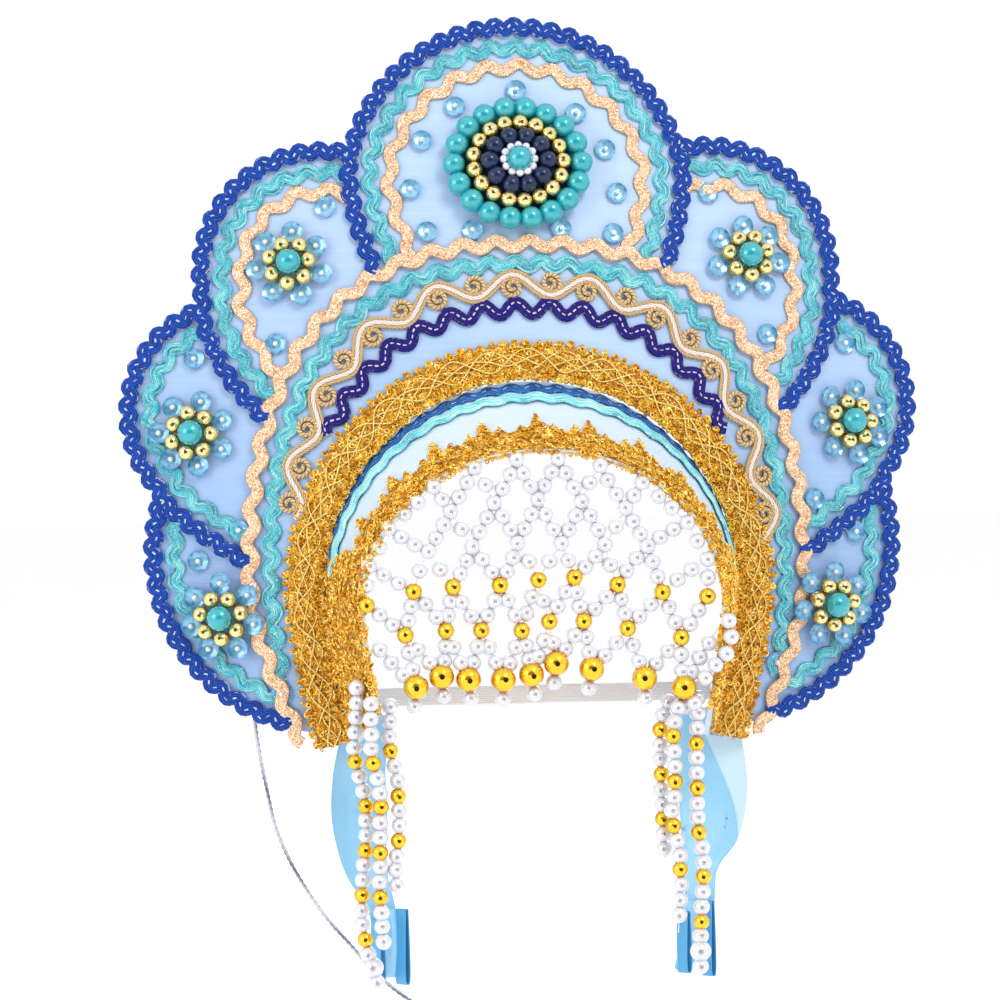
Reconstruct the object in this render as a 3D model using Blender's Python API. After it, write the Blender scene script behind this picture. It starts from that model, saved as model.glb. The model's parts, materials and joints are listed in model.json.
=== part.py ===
"""Kokoshnik headdress: a lobed satin crest with rows of braid, bead work, a pearl net and ties.

Metres, +Z up. X runs to the right of someone who faces the wearer, and the front faces -Y. The origin is
the middle of the head opening, at the level of the crest's feet.
"""

import math
from collections import namedtuple

import bmesh
import bpy
from mathutils import Matrix, Vector

# Clearance between touching pieces
GAP = 0.0003

# Head opening, which the arch's braids and the brow band follow
ARCH_CENTRE_Z = 0.060
OPENING_RADIUS = 0.084
OPENING_FOOT_DRAW = 0.012
LEG_CURVE = 1.4
LEG_STEPS = 30
ARCH_STEPS = 90

# Crest board: a shallow cone about the arch's centre, leaning back
CREST_LEAN = math.radians(18)
CREST_BOARD = 0.003
CREST_FOOT_WIDTH = 0.0125
COLUMN_SPACING = 0.0100

# Lobes: direction from the arch's centre, how far the lobe's own centre lies past the opening's edge, the
# lobe's radius, and the direction and distance past the opening of the flower on it
Lobe = namedtuple("Lobe", "name angle past_opening radius flower_angle flower_past_opening")
TOP_LOBE = Lobe("top", math.radians(90), 0.0720, 0.0710, None, None)
SIDE_LOBES = (
    Lobe("upper", math.radians(58.4), 0.0640, 0.0520, math.radians(54.8), 0.0755),
    Lobe("middle", math.radians(32.3), 0.0497, 0.0465, math.radians(25.8), 0.0625),
    Lobe("lower", math.radians(11.5), -0.0034, 0.0720, math.radians(-4.1), 0.0380),
)

# Borders between lobes: where each meets the arch, and how far it bows towards the lower lobe
Border = namedtuple("Border", "end_angle bow")
BORDERS = (
    Border(math.radians(65.4), 0.0),
    Border(math.radians(33.7), 0.0045),
    Border(math.radians(6.3), 0.0015),
)
BORDER_STEPS = 12

# Braids along the arch: how far outside the opening the middle of each runs at the side and at the top, how
# far its feet draw in, the squareness of its curve, and its width, wave, wave length and thickness
BRAID_CLEARANCE = 0.0005
ArchBraid = namedtuple("ArchBraid", "name side top draw square width wave period thick colour")
GIMP = ArchBraid("gimp_braid", 0.0063, 0.0070, 0.0115, 2.0, 0.0124, 0.0, 0.0, 0.0020, "gold")
NAVY = ArchBraid("navy_rickrack", 0.0070, 0.0275, 0.0, 2.3, 0.0044, 0.0016, 0.0130, 0.0014, "navy")
SCROLL = ArchBraid("scroll_braid", 0.0125, 0.0368, 0.0, 2.4, 0.0034, 0.0018, 0.0320, 0.0016, "cord_gold")
ARCH_TURQUOISE = ArchBraid(
    "arch_turquoise_rickrack", 0.0190, 0.0452, 0.0085, 2.5, 0.0052, 0.0, 0.0, 0.0012, "turquoise"
)
ARCH_PEACH = ArchBraid(
    "arch_peach_rickrack", 0.0268, 0.0530, 0.0200, 2.5, 0.0060, 0.0, 0.0, 0.0012, "peach"
)
ARCH_STATION = 0.0120
SCROLL_STATIONS_A_WAVE = 4

# Braids along each lobe: distance of the middle from the lobe's edge, width and thickness
LobeBraid = namedtuple("LobeBraid", "name depth width thick colour")
LOBE_BLUE = LobeBraid("blue_rickrack", 0.0036, 0.0050, 0.0012, "royal_blue")
LOBE_TURQUOISE = LobeBraid("turquoise_rickrack", 0.0112, 0.0056, 0.0012, "turquoise")
LOBE_PEACH = LobeBraid("peach_rickrack", 0.0192, 0.0060, 0.0012, "peach")
LOBE_STATION = 0.0105
PATH_STEP = 0.001
CORNER_SMOOTHING = 20
LOBE_SWEEP = 0.8

# Brow band: a cone of cloth that comes forward through the opening and narrows
BAND_WALL = 0.002
BAND_BEHIND = 0.005
BAND_FORWARD = 0.038
BAND_FRONT_HALF_WIDTH = 0.0726
BAND_FRONT_TOP_Z = 0.117
BAND_FRONT_CENTRE_Z = 0.056
BAND_FRONT_FOOT_X = 0.0665
BAND_FRONT_FOOT_Z = 0.014
BAND_COLUMNS = 40

# Braids on the brow band, placed by their share of its depth from the back edge to the front edge
BandTrim = namedtuple("BandTrim", "name share width wave waves thick colour")
BAND_BLUE = BandTrim("band_blue_rickrack", 0.19, 0.0056, 0.0008, 17, 0.0010, "royal_blue")
BAND_TURQUOISE = BandTrim("band_turquoise_rickrack", 0.335, 0.0062, 0.0008, 17, 0.0010, "turquoise")
BAND_TRIM_END = 0.15
PICOT_BAND = 0.0100
PICOT_TOOTH = 0.0070
PICOT_TEETH = 15
PICOT_THICK = 0.0016
PICOT_SET_BACK = 0.0003

# Beads
BEAD_SIDES = 10
BEAD_RINGS = 4

# Pearl net in front of the forehead: rows from the top, each with its count of crossings, and the height at
# which its outer crossings lie on the heading string
NET_STRING = 0.0054
NET_HEADINGS = 6
NET_HEADING_SPACING = 0.0165
NET_DROP_BEAD = 0.0095
NetRow = namedtuple("NetRow", "crossings pitch z sag edge_z")
NET_ROWS = (
    NetRow(7, 0.0173, 0.0972, 0.0090, 0.0870),
    NetRow(8, 0.0173, 0.0800, 0.0040, 0.0725),
    NetRow(9, 0.0170, 0.0655, 0.0080, 0.0585),
    NetRow(8, 0.0154, 0.0480, 0.0045, None),
    NetRow(9, 0.0133, 0.0290, 0.0055, None),
)
NET_SIDE_Z = 0.0400

# Bead work on the crest
PEARL = 0.0100
SEQUIN = 0.0082
SEQUIN_SIDES = 8
SEQUIN_THICK = 0.0010
FLOWER_PETALS = 7
FLOWER_RADIUS = 0.0132
FLOWER_LIFT = 0.0020
FLOWER_COLLAR = 0.0108
FLOWER_COLLAR_DIP = 0.0013
FLOWER_COLLAR_HEIGHT = 0.0042
FLOWERS_ON_BRAIDS = ("lower",)
MEDALLION_PAST_OPENING = 0.0870
MEDALLION_HALF_WIDTH = 0.0258
MEDALLION_HALF_HEIGHT = 0.0234
MEDALLION_PEARLS = 18
MEDALLION_PEARL = 0.0083
MEDALLION_PAD_HEIGHT = 0.0042
MEDALLION_DOME = 0.0036
RIM_STEPS = 72

# Strings of beads at the temples: their middles, chosen by hand from the top down
STRAND = 0.0056
STRAND_POINT = 0.0125
STRANDS = {
    "strand_left_outer": (
        (-0.0740, -0.0350, 0.0235), (-0.0742, -0.0345, 0.0118), (-0.0753, -0.0340, -0.0030),
        (-0.0715, -0.0335, -0.0203), (-0.0711, -0.0335, -0.0375), (-0.0723, -0.0335, -0.0547),
        (-0.0731, -0.0335, -0.0720), (-0.0673, -0.0335, -0.0948),
    ),
    "strand_left_middle": (
        (-0.0688, -0.0413, 0.0190), (-0.0692, -0.0413, 0.0085), (-0.0692, -0.0410, -0.0029),
        (-0.0658, -0.0400, -0.0197), (-0.0664, -0.0395, -0.0372), (-0.0664, -0.0395, -0.0563),
        (-0.0656, -0.0395, -0.0780),
    ),
    "strand_left_inner": (
        (-0.0608, -0.0355, 0.0190), (-0.0615, -0.0370, 0.0013), (-0.0587, -0.0380, -0.0167),
        (-0.0583, -0.0385, -0.0339), (-0.0599, -0.0385, -0.0464), (-0.0600, -0.0385, -0.0590),
    ),
    "strand_right_outer": (
        (0.0608, -0.0355, 0.0190), (0.0597, -0.0380, 0.0001), (0.0595, -0.0395, -0.0176),
        (0.0597, -0.0395, -0.0341), (0.0615, -0.0395, -0.0511), (0.0604, -0.0395, -0.0693),
        (0.0596, -0.0395, -0.0945),
    ),
    "strand_right_middle": (
        (0.0549, -0.0365, 0.0170), (0.0505, -0.0390, 0.0026), (0.0511, -0.0395, -0.0147),
        (0.0495, -0.0395, -0.0328), (0.0524, -0.0395, -0.0494), (0.0512, -0.0395, -0.0770),
    ),
    "strand_right_inner": (
        (0.0512, -0.0312, 0.0165), (0.0462, -0.0325, 0.0043), (0.0460, -0.0330, -0.0131),
        (0.0462, -0.0330, -0.0305), (0.0472, -0.0330, -0.0490),
    ),
}

# Satin ties: sections from the top down, each with its outer and inner edge as shares of the tie's width
# out from the middle line, its height as a share of the drop, and how far it swings back
TIE_CLOTH = 0.0010
TIE_WIDTH = 0.0260
TIE_DROP = 0.1030
TIE_TOP_Z = 0.0110
TIE_INSIDE_OPENING = 0.0160
TIE_TURN = 0.0035
TieSection = namedtuple("TieSection", "outer inner drop")
TIES = {
    "ribbon_left": (
        TieSection(0.30, -0.42, 0.0), TieSection(0.36, -0.40, 0.10), TieSection(0.48, -0.36, 0.25),
        TieSection(0.50, -0.38, 0.40), TieSection(0.38, -0.36, 0.55), TieSection(0.10, -0.44, 0.68),
        TieSection(-0.08, -0.52, 0.82), TieSection(-0.16, -0.50, 0.94), TieSection(-0.20, -0.46, 1.0),
    ),
    "ribbon_right": (
        TieSection(0.50, -0.36, 0.0), TieSection(0.58, -0.38, 0.10), TieSection(0.62, -0.36, 0.25),
        TieSection(0.52, -0.34, 0.42), TieSection(0.24, -0.30, 0.56), TieSection(0.18, -0.26, 0.70),
        TieSection(0.14, -0.34, 0.84), TieSection(0.08, -0.46, 0.95), TieSection(0.0, -0.48, 1.0),
    ),
}
TIE_FOLD = ((0.90, 0.84), (0.72, 0.70))

# Elastic strap across the back of the opening
STRAP_WIDTH = 0.0064
STRAP_THICK = 0.0012
STRAP_Z = 0.0185
STRAP_Y = 0.0020

# Thin cord behind the lower left lobe: its route, chosen by hand, and its end knot
CORD = 0.0018
CORD_POINT = 0.0055
CORD_KNOT = 0.0050
CORD_ROUTE = (
    (-0.1102, 0.0155, 0.0180), (-0.1098, 0.0164, 0.0110), (-0.1092, 0.0175, 0.0050),
    (-0.1080, 0.0182, -0.0030), (-0.1057, 0.0180, -0.0150), (-0.1024, 0.0175, -0.0320),
    (-0.0961, 0.0170, -0.0475), (-0.0896, 0.0165, -0.0594), (-0.0824, 0.0160, -0.0696),
    (-0.0742, 0.0155, -0.0795), (-0.0650, 0.0150, -0.0905), (-0.0556, 0.0145, -0.0990),
    (-0.0459, 0.0140, -0.1066),
)

# Colours as seen, with roughness and metallic value
Finish = namedtuple("Finish", "colour roughness metallic")
FINISHES = {
    "satin": Finish((0.42, 0.56, 0.85), 0.35, 0.0),
    "band_satin": Finish((0.72, 0.82, 0.95), 0.35, 0.0),
    "gold": Finish((0.80, 0.52, 0.12), 0.38, 0.8),
    "navy": Finish((0.03, 0.04, 0.22), 0.45, 0.0),
    "cord_gold": Finish((0.66, 0.50, 0.28), 0.40, 0.4),
    "royal_blue": Finish((0.03, 0.10, 0.50), 0.45, 0.0),
    "turquoise": Finish((0.02, 0.45, 0.55), 0.45, 0.0),
    "peach": Finish((0.85, 0.58, 0.38), 0.50, 0.2),
    "pearl": Finish((0.92, 0.91, 0.89), 0.18, 0.0),
    "teal_pearl": Finish((0.02, 0.45, 0.50), 0.18, 0.0),
    "ribbon": Finish((0.38, 0.66, 0.88), 0.30, 0.0),
    "elastic": Finish((0.70, 0.68, 0.66), 0.60, 0.0),
    "silver_cord": Finish((0.60, 0.61, 0.68), 0.35, 0.6),
}


def material_of(name):
    """The named finish as a material, made once."""
    if name in bpy.data.materials:
        return bpy.data.materials[name]
    finish = FINISHES[name]
    material = bpy.data.materials.new(name)
    material.use_nodes = True
    shader = material.node_tree.nodes["Principled BSDF"]
    shader.inputs["Base Color"].default_value = (*finish.colour, 1)
    shader.inputs["Roughness"].default_value = finish.roughness
    shader.inputs["Metallic"].default_value = finish.metallic
    return material


def add_object(name, data, colour):
    """Links a mesh or curve into the scene as a named piece."""
    piece = bpy.data.objects.new(name, data)
    piece.data.materials.append(material_of(colour))
    bpy.context.scene.collection.objects.link(piece)
    return piece


def mesh_piece(name, bm, colour, smooth_under=math.radians(50)):
    """Turns a bmesh into a named piece, shaded smooth where its faces meet at a low angle."""
    mesh = bpy.data.meshes.new(name)
    bm.to_mesh(mesh)
    bm.free()
    mesh.shade_smooth()
    mesh.set_sharp_from_angle(angle=smooth_under)
    return add_object(name, mesh, colour)


# Plane curves, as lists of Vector((x, z)) in the front view


def mirrored(points):
    """The same curve on the other side."""
    return [Vector((-point.x, point.y)) for point in points]


def arch_points(half_width, top_z, spring_z, foot_x, foot_z, square=2.0):
    """An arch from its right foot over the top to its left foot, the same count of points for any size."""
    right = []
    for step in range(LEG_STEPS):
        share = 1 - step / LEG_STEPS
        x = half_width - (half_width - foot_x) * share**LEG_CURVE
        right.append(Vector((x, spring_z - (spring_z - foot_z) * share)))
    for step in range(ARCH_STEPS + 1):
        angle = math.pi / 2 * step / ARCH_STEPS
        across = half_width * abs(math.cos(angle)) ** (2 / square)
        up = (top_z - spring_z) * math.sin(angle) ** (2 / square)
        right.append(Vector((across if step < ARCH_STEPS else 0, spring_z + up)))
    return right + mirrored(right[-2::-1])


def lengths_along(points):
    """Distance along the curve at each point."""
    total = [0.0]
    for a, b in zip(points, points[1:]):
        total.append(total[-1] + (b - a).length)
    return total


def resampled(points, spacing, even=False):
    """The curve with points about this far apart, both ends kept. With even, the count of steps is even."""
    along = lengths_along(points)
    steps = max(2, round(along[-1] / spacing))
    if even and steps % 2:
        steps += 1
    result = []
    index = 0
    for step in range(steps + 1):
        target = along[-1] * step / steps
        while index < len(points) - 2 and along[index + 1] < target:
            index += 1
        stretch = along[index + 1] - along[index]
        share = (target - along[index]) / stretch if stretch else 0
        result.append(points[index].lerp(points[index + 1], share))
    return result


def distance_to(point, curve):
    """Shortest distance from a point to a curve."""
    nearest = math.inf
    for a, b in zip(curve, curve[1:]):
        side = b - a
        share = max(0.0, min(1.0, (point - a).dot(side) / side.length_squared)) if side.length else 0
        nearest = min(nearest, (point - a - side * share).length)
    return nearest


def trimmed(points, curve, distance):
    """The stretch about the middle of a curve that keeps this far from another curve."""
    clear = [distance_to(point, curve) >= distance for point in points]
    first = last = len(points) // 2
    while first > 0 and clear[first - 1]:
        first -= 1
    while last < len(points) - 1 and clear[last + 1]:
        last += 1
    return points[first:last + 1]


def rounded(points, passes):
    """The curve with its corners eased, its ends kept."""
    for _ in range(passes):
        eased = [(a + 2 * b + c) / 4 for a, b, c in zip(points, points[1:], points[2:])]
        points = [points[0], *eased, points[-1]]
    return points


def ray_hit(curve, angle):
    """Where a ray from the arch's centre at this angle meets a curve."""
    centre = Vector((0, ARCH_CENTRE_Z))
    across = Vector((-math.sin(angle), math.cos(angle)))
    along = Vector((math.cos(angle), math.sin(angle)))
    for a, b in zip(curve, curve[1:]):
        side_a = (a - centre).dot(across)
        side_b = (b - centre).dot(across)
        if side_a * side_b <= 0 and side_a != side_b:
            hit = a.lerp(b, side_a / (side_a - side_b))
            if (hit - centre).dot(along) > 0:
                return hit
    return None


def angle_of(point):
    """Direction of a point from the arch's centre."""
    return math.atan2(point.y - ARCH_CENTRE_Z, point.x)


def polar(angle, past_opening):
    """The point in this direction, this far past the opening's edge."""
    reach = OPENING_RADIUS + past_opening
    return Vector((math.cos(angle) * reach, ARCH_CENTRE_Z + math.sin(angle) * reach))


# The crest's surface


def crest_normal(point):
    """Unit normal of the crest's front, pointing forward."""
    angle = angle_of(point)
    lean = math.sin(CREST_LEAN)
    return Vector((lean * math.cos(angle), -math.cos(CREST_LEAN), lean * math.sin(angle)))


def on_crest(point, lift=0.0):
    """The crest's front at this place of the front view, raised along its normal."""
    reach = (point - Vector((0, ARCH_CENTRE_Z))).length - OPENING_RADIUS
    return Vector((point.x, math.tan(CREST_LEAN) * reach, point.y)) + crest_normal(point) * lift


def opening_curve():
    """Edge of the head opening."""
    top_z = ARCH_CENTRE_Z + OPENING_RADIUS
    return arch_points(OPENING_RADIUS, top_z, ARCH_CENTRE_Z, OPENING_RADIUS - OPENING_FOOT_DRAW, 0.0)


def braid_curve(braid):
    """Middle line of a braid along the arch."""
    half_width = OPENING_RADIUS + braid.side
    top_z = ARCH_CENTRE_Z + OPENING_RADIUS + braid.top
    return arch_points(half_width, top_z, ARCH_CENTRE_Z, half_width - braid.draw, 0.0, braid.square)


def reach_of(braid):
    """Half of the width that a braid covers, with its wave."""
    return braid.width / 2 + getattr(braid, "wave", 0.0)


def lobe_centre(lobe):
    """Centre of a lobe on the right side."""
    return polar(lobe.angle, lobe.past_opening)


def circle_point(centre, radius, angle):
    """A point of a circle in the front view."""
    return centre + Vector((math.cos(angle), math.sin(angle))) * radius


def notch_between(upper, lower):
    """Outer crossing of two neighbouring lobes' circles."""
    start = lobe_centre(upper)
    side = lobe_centre(lower) - start
    along = (side.length_squared + upper.radius**2 - lower.radius**2) / (2 * side.length)
    half_chord = math.sqrt(upper.radius**2 - along**2)
    unit = side.normalized()
    crossings = [start + unit * along + turn * half_chord for turn in (unit.orthogonal(), -unit.orthogonal())]
    return max(crossings, key=lambda point: (point - Vector((0, ARCH_CENTRE_Z))).length)


def notches():
    """The three notches of the right side, from the top down."""
    lobes = (TOP_LOBE, *SIDE_LOBES)
    return [notch_between(upper, lower) for upper, lower in zip(lobes, lobes[1:])]


def arc_between(centre, start, end, spacing):
    """Points along a circle from one point clockwise to another."""
    first = math.atan2(start.y - centre.y, start.x - centre.x)
    last = math.atan2(end.y - centre.y, end.x - centre.x)
    if last > first:
        last -= math.tau
    radius = (start - centre).length
    steps = max(2, math.ceil((first - last) * radius / spacing))
    return [circle_point(centre, radius, first + (last - first) * step / steps) for step in range(steps + 1)]


def crest_foot():
    """Outer corner of the crest's right foot."""
    return Vector((OPENING_RADIUS - OPENING_FOOT_DRAW + CREST_FOOT_WIDTH, 0.0))


def crest_edge():
    """Outline of the crest's right side, from the top down to its foot."""
    lowest = SIDE_LOBES[-1]
    centre = lobe_centre(lowest)
    across = crest_foot().x - centre.x
    last = Vector((crest_foot().x, centre.y - math.sqrt(lowest.radius**2 - across**2)))
    top = circle_point(lobe_centre(TOP_LOBE), TOP_LOBE.radius, math.pi / 2)
    stops = [top, *notches(), last]
    edge = [top]
    for lobe, start, end in zip((TOP_LOBE, *SIDE_LOBES), stops, stops[1:]):
        edge += arc_between(lobe_centre(lobe), start, end, COLUMN_SPACING)[1:]
    return edge


# Sheets with a thickness


def sheet_piece(name, stations, thickness, outward, colour):
    """A solid on a sheet of points: stations along it, each a row of points across it."""
    across = len(stations[0])
    bm = bmesh.new()
    bmesh.ops.create_grid(bm, x_segments=across - 1, y_segments=len(stations) - 1, size=1.0)
    bm.verts.ensure_lookup_table()
    for index, vertex in enumerate(bm.verts):
        vertex.co = stations[index // across][index % across]
    bm.faces.ensure_lookup_table()
    bm.normal_update()
    middle = bm.faces[len(bm.faces) // 2]
    if middle.normal.dot(outward(middle.calc_center_median())) < 0:
        bmesh.ops.reverse_faces(bm, faces=bm.faces)
    piece = mesh_piece(name, bm, colour)
    wall = piece.modifiers.new("wall", "SOLIDIFY")
    wall.thickness = abs(thickness)
    wall.offset = math.copysign(1.0, thickness)
    return piece


def forward(_place):
    """The direction of the crest's front."""
    return Vector((0, -1, 0))


def outward_of_arch(place):
    """Away from the middle of the arch."""
    return Vector((place.x, 0, place.z - ARCH_CENTRE_Z))


def side_step(points, index):
    """Unit vector across a curve at one of its points."""
    before = points[max(index - 1, 0)]
    after = points[min(index + 1, len(points) - 1)]
    along = (after - before).normalized()
    return Vector((-along.y, along.x))


def crest_braid(name, middle, width, thick, colour, wave_at=None):
    """A flat braid on the crest along its middle line. wave_at gives the sideways step at a station."""
    stations = []
    for index, point in enumerate(middle):
        across = side_step(middle, index)
        centre = point + across * (wave_at(index) if wave_at else 0.0)
        edges = (centre - across * width / 2, centre + across * width / 2)
        stations.append([on_crest(edge, GAP) for edge in edges])
    return sheet_piece(name, stations, thick, forward, colour)


def zigzag(wave):
    """Sideways steps of a rickrack with a station at each point of its zigzag."""
    return lambda index: wave if index % 2 else -wave


# Crest, with its braids


def make_crest():
    """The lobed board round the opening."""
    opening = opening_curve()
    right = [(edge, ray_hit(opening, angle_of(edge))) for edge in crest_edge()]
    right.append((crest_foot(), opening[0]))
    left = [(Vector((-edge.x, edge.y)), Vector((-inner.x, inner.y))) for edge, inner in right[:0:-1]]
    stations = [[on_crest(inner), on_crest(edge)] for edge, inner in left + right]
    return sheet_piece("crest", stations, -CREST_BOARD, forward, "satin")


def arch_braid_lines():
    """Middle line of each arch braid by name, cut where a neighbour leaves it no room."""
    lines = {GIMP.name: braid_curve(GIMP)}
    for braid, others in (
        (NAVY, (GIMP,)),
        (ARCH_PEACH, (GIMP,)),
        (ARCH_TURQUOISE, (GIMP, ARCH_PEACH)),
        (SCROLL, (GIMP, NAVY, ARCH_TURQUOISE)),
    ):
        line = braid_curve(braid)
        for other in others:
            line = trimmed(line, lines[other.name], reach_of(other) + reach_of(braid) + BRAID_CLEARANCE)
        lines[braid.name] = line
    return lines


def make_arch_braids(lines):
    """The five braids that follow the arch."""
    for braid in (GIMP, NAVY, SCROLL, ARCH_TURQUOISE, ARCH_PEACH):
        line = lines[braid.name]
        wave_at = None
        if braid is SCROLL:
            step = 2 * math.pi / SCROLL_STATIONS_A_WAVE
            middle = resampled(line, braid.period / SCROLL_STATIONS_A_WAVE, even=True)
            wave_at = lambda index: SCROLL.wave * math.sin(index * step + math.pi / 4)
        elif braid.wave:
            middle = resampled(line, braid.period / 2, even=True)
            wave_at = zigzag(braid.wave)
        else:
            middle = resampled(line, ARCH_STATION, even=True)
        crest_braid(braid.name, middle, braid.width, braid.thick, braid.colour, wave_at)


def border_line(border, notch, peach):
    """Middle line of the braid between two lobes, from the notch to the arch's outer braid."""
    start = notch
    end = ray_hit(peach, border.end_angle)
    side = (end - start).normalized()
    bow = Vector((-side.y, side.x))
    if bow.dot(Vector((1, -1))) < 0:
        bow = -bow
    points = []
    for step in range(BORDER_STEPS + 1):
        share = step / BORDER_STEPS
        points.append(start.lerp(end, share) + bow * border.bow * math.sin(math.pi * share))
    return points


def inside_line(border, centre, step_in):
    """A border's line moved towards a lobe's centre."""
    points = []
    for index, point in enumerate(border):
        across = side_step(border, index)
        if across.dot(centre - point) < 0:
            across = -across
        points.append(point + across * step_in)
    return points


def lobe_line(lobe, braid, border, keep_off):
    """Middle line of a braid on a right-hand lobe, from its upper end round and down its lower border.

    keep_off holds pairs of another curve and the least distance to it.
    """
    centre = lobe_centre(lobe)
    radius = lobe.radius - braid.depth
    first = math.pi / 2 if lobe is TOP_LOBE else math.pi
    last = first - LOBE_SWEEP * math.tau * (0.5 if lobe is TOP_LOBE else 1.0)
    turns = round((first - last) * radius / PATH_STEP)
    line = [circle_point(centre, radius, first + (last - first) * step / turns) for step in range(turns + 1)]
    if border:
        leg = resampled(inside_line(border, centre, braid.depth - LOBE_BLUE.depth), PATH_STEP)
        late = range(len(line) // 3, len(line))
        join, start = min(
            ((index, place) for index in late for place in range(len(leg))),
            key=lambda pair: (line[pair[0]] - leg[pair[1]]).length,
        )
        line = line[:join] + leg[start:]
    for curve, distance in keep_off:
        line = trimmed(line, curve, distance)
    return rounded(resampled(line, PATH_STEP), CORNER_SMOOTHING)


def lobe_braid_lines(arch_lines):
    """Middle lines of the lobes' braids by braid and lobe, for the right side."""
    peach_arch = arch_lines[ARCH_PEACH.name]
    gimp = arch_lines[GIMP.name]
    borders = [border_line(*pair, peach_arch) for pair in zip(BORDERS, notches())]
    lines = {}
    for braid in (LOBE_BLUE, LOBE_TURQUOISE, LOBE_PEACH):
        above = None
        for index, lobe in enumerate((TOP_LOBE, *SIDE_LOBES)):
            if braid is LOBE_PEACH and index > 1:
                break
            keep_off = [
                (peach_arch, reach_of(ARCH_PEACH) + braid.width / 2 + BRAID_CLEARANCE),
                (gimp, reach_of(GIMP) + braid.width / 2 + BRAID_CLEARANCE),
            ]
            if index:
                above = lines[LOBE_BLUE.name, (TOP_LOBE, *SIDE_LOBES)[index - 1].name]
                keep_off.append((above, (LOBE_BLUE.width + braid.width) / 2 + BRAID_CLEARANCE))
            border = borders[index] if index < len(borders) else None
            lines[braid.name, lobe.name] = lobe_line(lobe, braid, border, keep_off)
    return lines


def make_lobe_braids(arch_lines):
    """The braids of the seven lobes."""
    lines = lobe_braid_lines(arch_lines)
    for braid in (LOBE_BLUE, LOBE_TURQUOISE, LOBE_PEACH):
        for lobe in (TOP_LOBE, *SIDE_LOBES):
            if (braid.name, lobe.name) not in lines:
                continue
            line = lines[braid.name, lobe.name]
            if lobe is TOP_LOBE:
                whole = mirrored(line[:0:-1]) + line
                middle = resampled(whole, LOBE_STATION, even=True)
                crest_braid(f"{braid.name}_top", middle, braid.width, braid.thick, braid.colour)
                continue
            middle = resampled(line, LOBE_STATION)
            for side, points in (("right", middle), ("left", mirrored(middle))):
                name = f"{braid.name}_{lobe.name}_{side}"
                crest_braid(name, points, braid.width, braid.thick, braid.colour)


# Brow band


def band_back_curve():
    """Outer edge of the band behind the crest, clear of the board's back edge."""
    half_width = OPENING_RADIUS - CREST_BOARD * math.sin(CREST_LEAN) - GAP
    top_z = ARCH_CENTRE_Z + half_width
    return arch_points(half_width, top_z, ARCH_CENTRE_Z, half_width - OPENING_FOOT_DRAW, 0.0)


def band_front_curve():
    """Outer edge of the band's front."""
    return arch_points(
        BAND_FRONT_HALF_WIDTH, BAND_FRONT_TOP_Z, BAND_FRONT_CENTRE_Z, BAND_FRONT_FOOT_X, BAND_FRONT_FOOT_Z
    )


def curve_at(points, share):
    """The point at this share of a curve's list of points."""
    place = max(0.0, min(1.0, share)) * (len(points) - 1)
    index = min(int(place), len(points) - 2)
    return points[index].lerp(points[index + 1], place - index)


def on_band(along, depth, lift=0.0):
    """The band's outer face: along from its right foot to its left, depth from back to front."""

    def flat_place(share):
        back = curve_at(band_back_curve_points, share)
        front = curve_at(band_front_curve_points, share)
        rear = Vector((back.x, BAND_BEHIND, back.y))
        fore = Vector((front.x, -BAND_FORWARD, front.y))
        return rear, fore

    rear, fore = flat_place(along)
    step = 0.5 / BAND_COLUMNS
    ahead, behind = flat_place(along + step), flat_place(along - step)
    tangent = ahead[0].lerp(ahead[1], depth) - behind[0].lerp(behind[1], depth)
    normal = tangent.cross(fore - rear).normalized()
    place = rear.lerp(fore, depth)
    if normal.dot(outward_of_arch(place)) < 0:
        normal = -normal
    return place + normal * lift


def band_depth_at(along):
    """Length of the band's face from back to front."""
    return (on_band(along, 1.0) - on_band(along, 0.0)).length


def make_brow_band():
    """The cone of cloth from the opening to the forehead."""
    stations = []
    for column in range(BAND_COLUMNS + 1):
        along = column / BAND_COLUMNS
        stations.append([on_band(along, 0.0), on_band(along, 1.0)])
    return sheet_piece("brow_band", stations, -BAND_WALL, outward_of_arch, "band_satin")


def make_band_trims():
    """The two zigzag braids and the toothed edge trim on the brow band."""
    for trim in (BAND_BLUE, BAND_TURQUOISE):
        stations = []
        for step in range(2 * trim.waves + 1):
            along = BAND_TRIM_END + (1 - 2 * BAND_TRIM_END) * step / (2 * trim.waves)
            whole = band_depth_at(along)
            middle = trim.share + (trim.wave if step % 2 else -trim.wave) / whole
            half = trim.width / 2 / whole
            stations.append([on_band(along, middle + edge, GAP) for edge in (-half, half)])
        sheet_piece(trim.name, stations, trim.thick, outward_of_arch, trim.colour)
    stations = []
    for step in range(2 * PICOT_TEETH + 1):
        along = step / (2 * PICOT_TEETH)
        whole = band_depth_at(along)
        height = PICOT_BAND + (PICOT_TOOTH if step % 2 else 0.0)
        depths = (1 - (PICOT_SET_BACK + height) / whole, 1 - PICOT_SET_BACK / whole)
        stations.append([on_band(along, depth, GAP) for depth in depths])
    sheet_piece("picot_trim", stations, PICOT_THICK, outward_of_arch, "gold")


# Beads


def add_bead(bm, place, diameter, turn=Matrix.Identity(3), sides=BEAD_SIDES, rings=BEAD_RINGS):
    """Adds a round bead to a bmesh, its hole along the turned Z axis."""
    matrix = Matrix.Translation(place) @ turn.to_4x4()
    bmesh.ops.create_uvsphere(bm, u_segments=sides, v_segments=rings, radius=diameter / 2, matrix=matrix)


def set_in(piece, additions):
    """Joins shapes onto a piece, as one solid."""
    guide = mesh_piece(f"{piece.name}_setting", additions, piece.data.materials[0].name)
    guide.hide_render = True
    guide.display_type = "WIRE"
    union = piece.modifiers.new("set", "BOOLEAN")
    union.operation = "UNION"
    union.object = guide
    union.use_self = True


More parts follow.
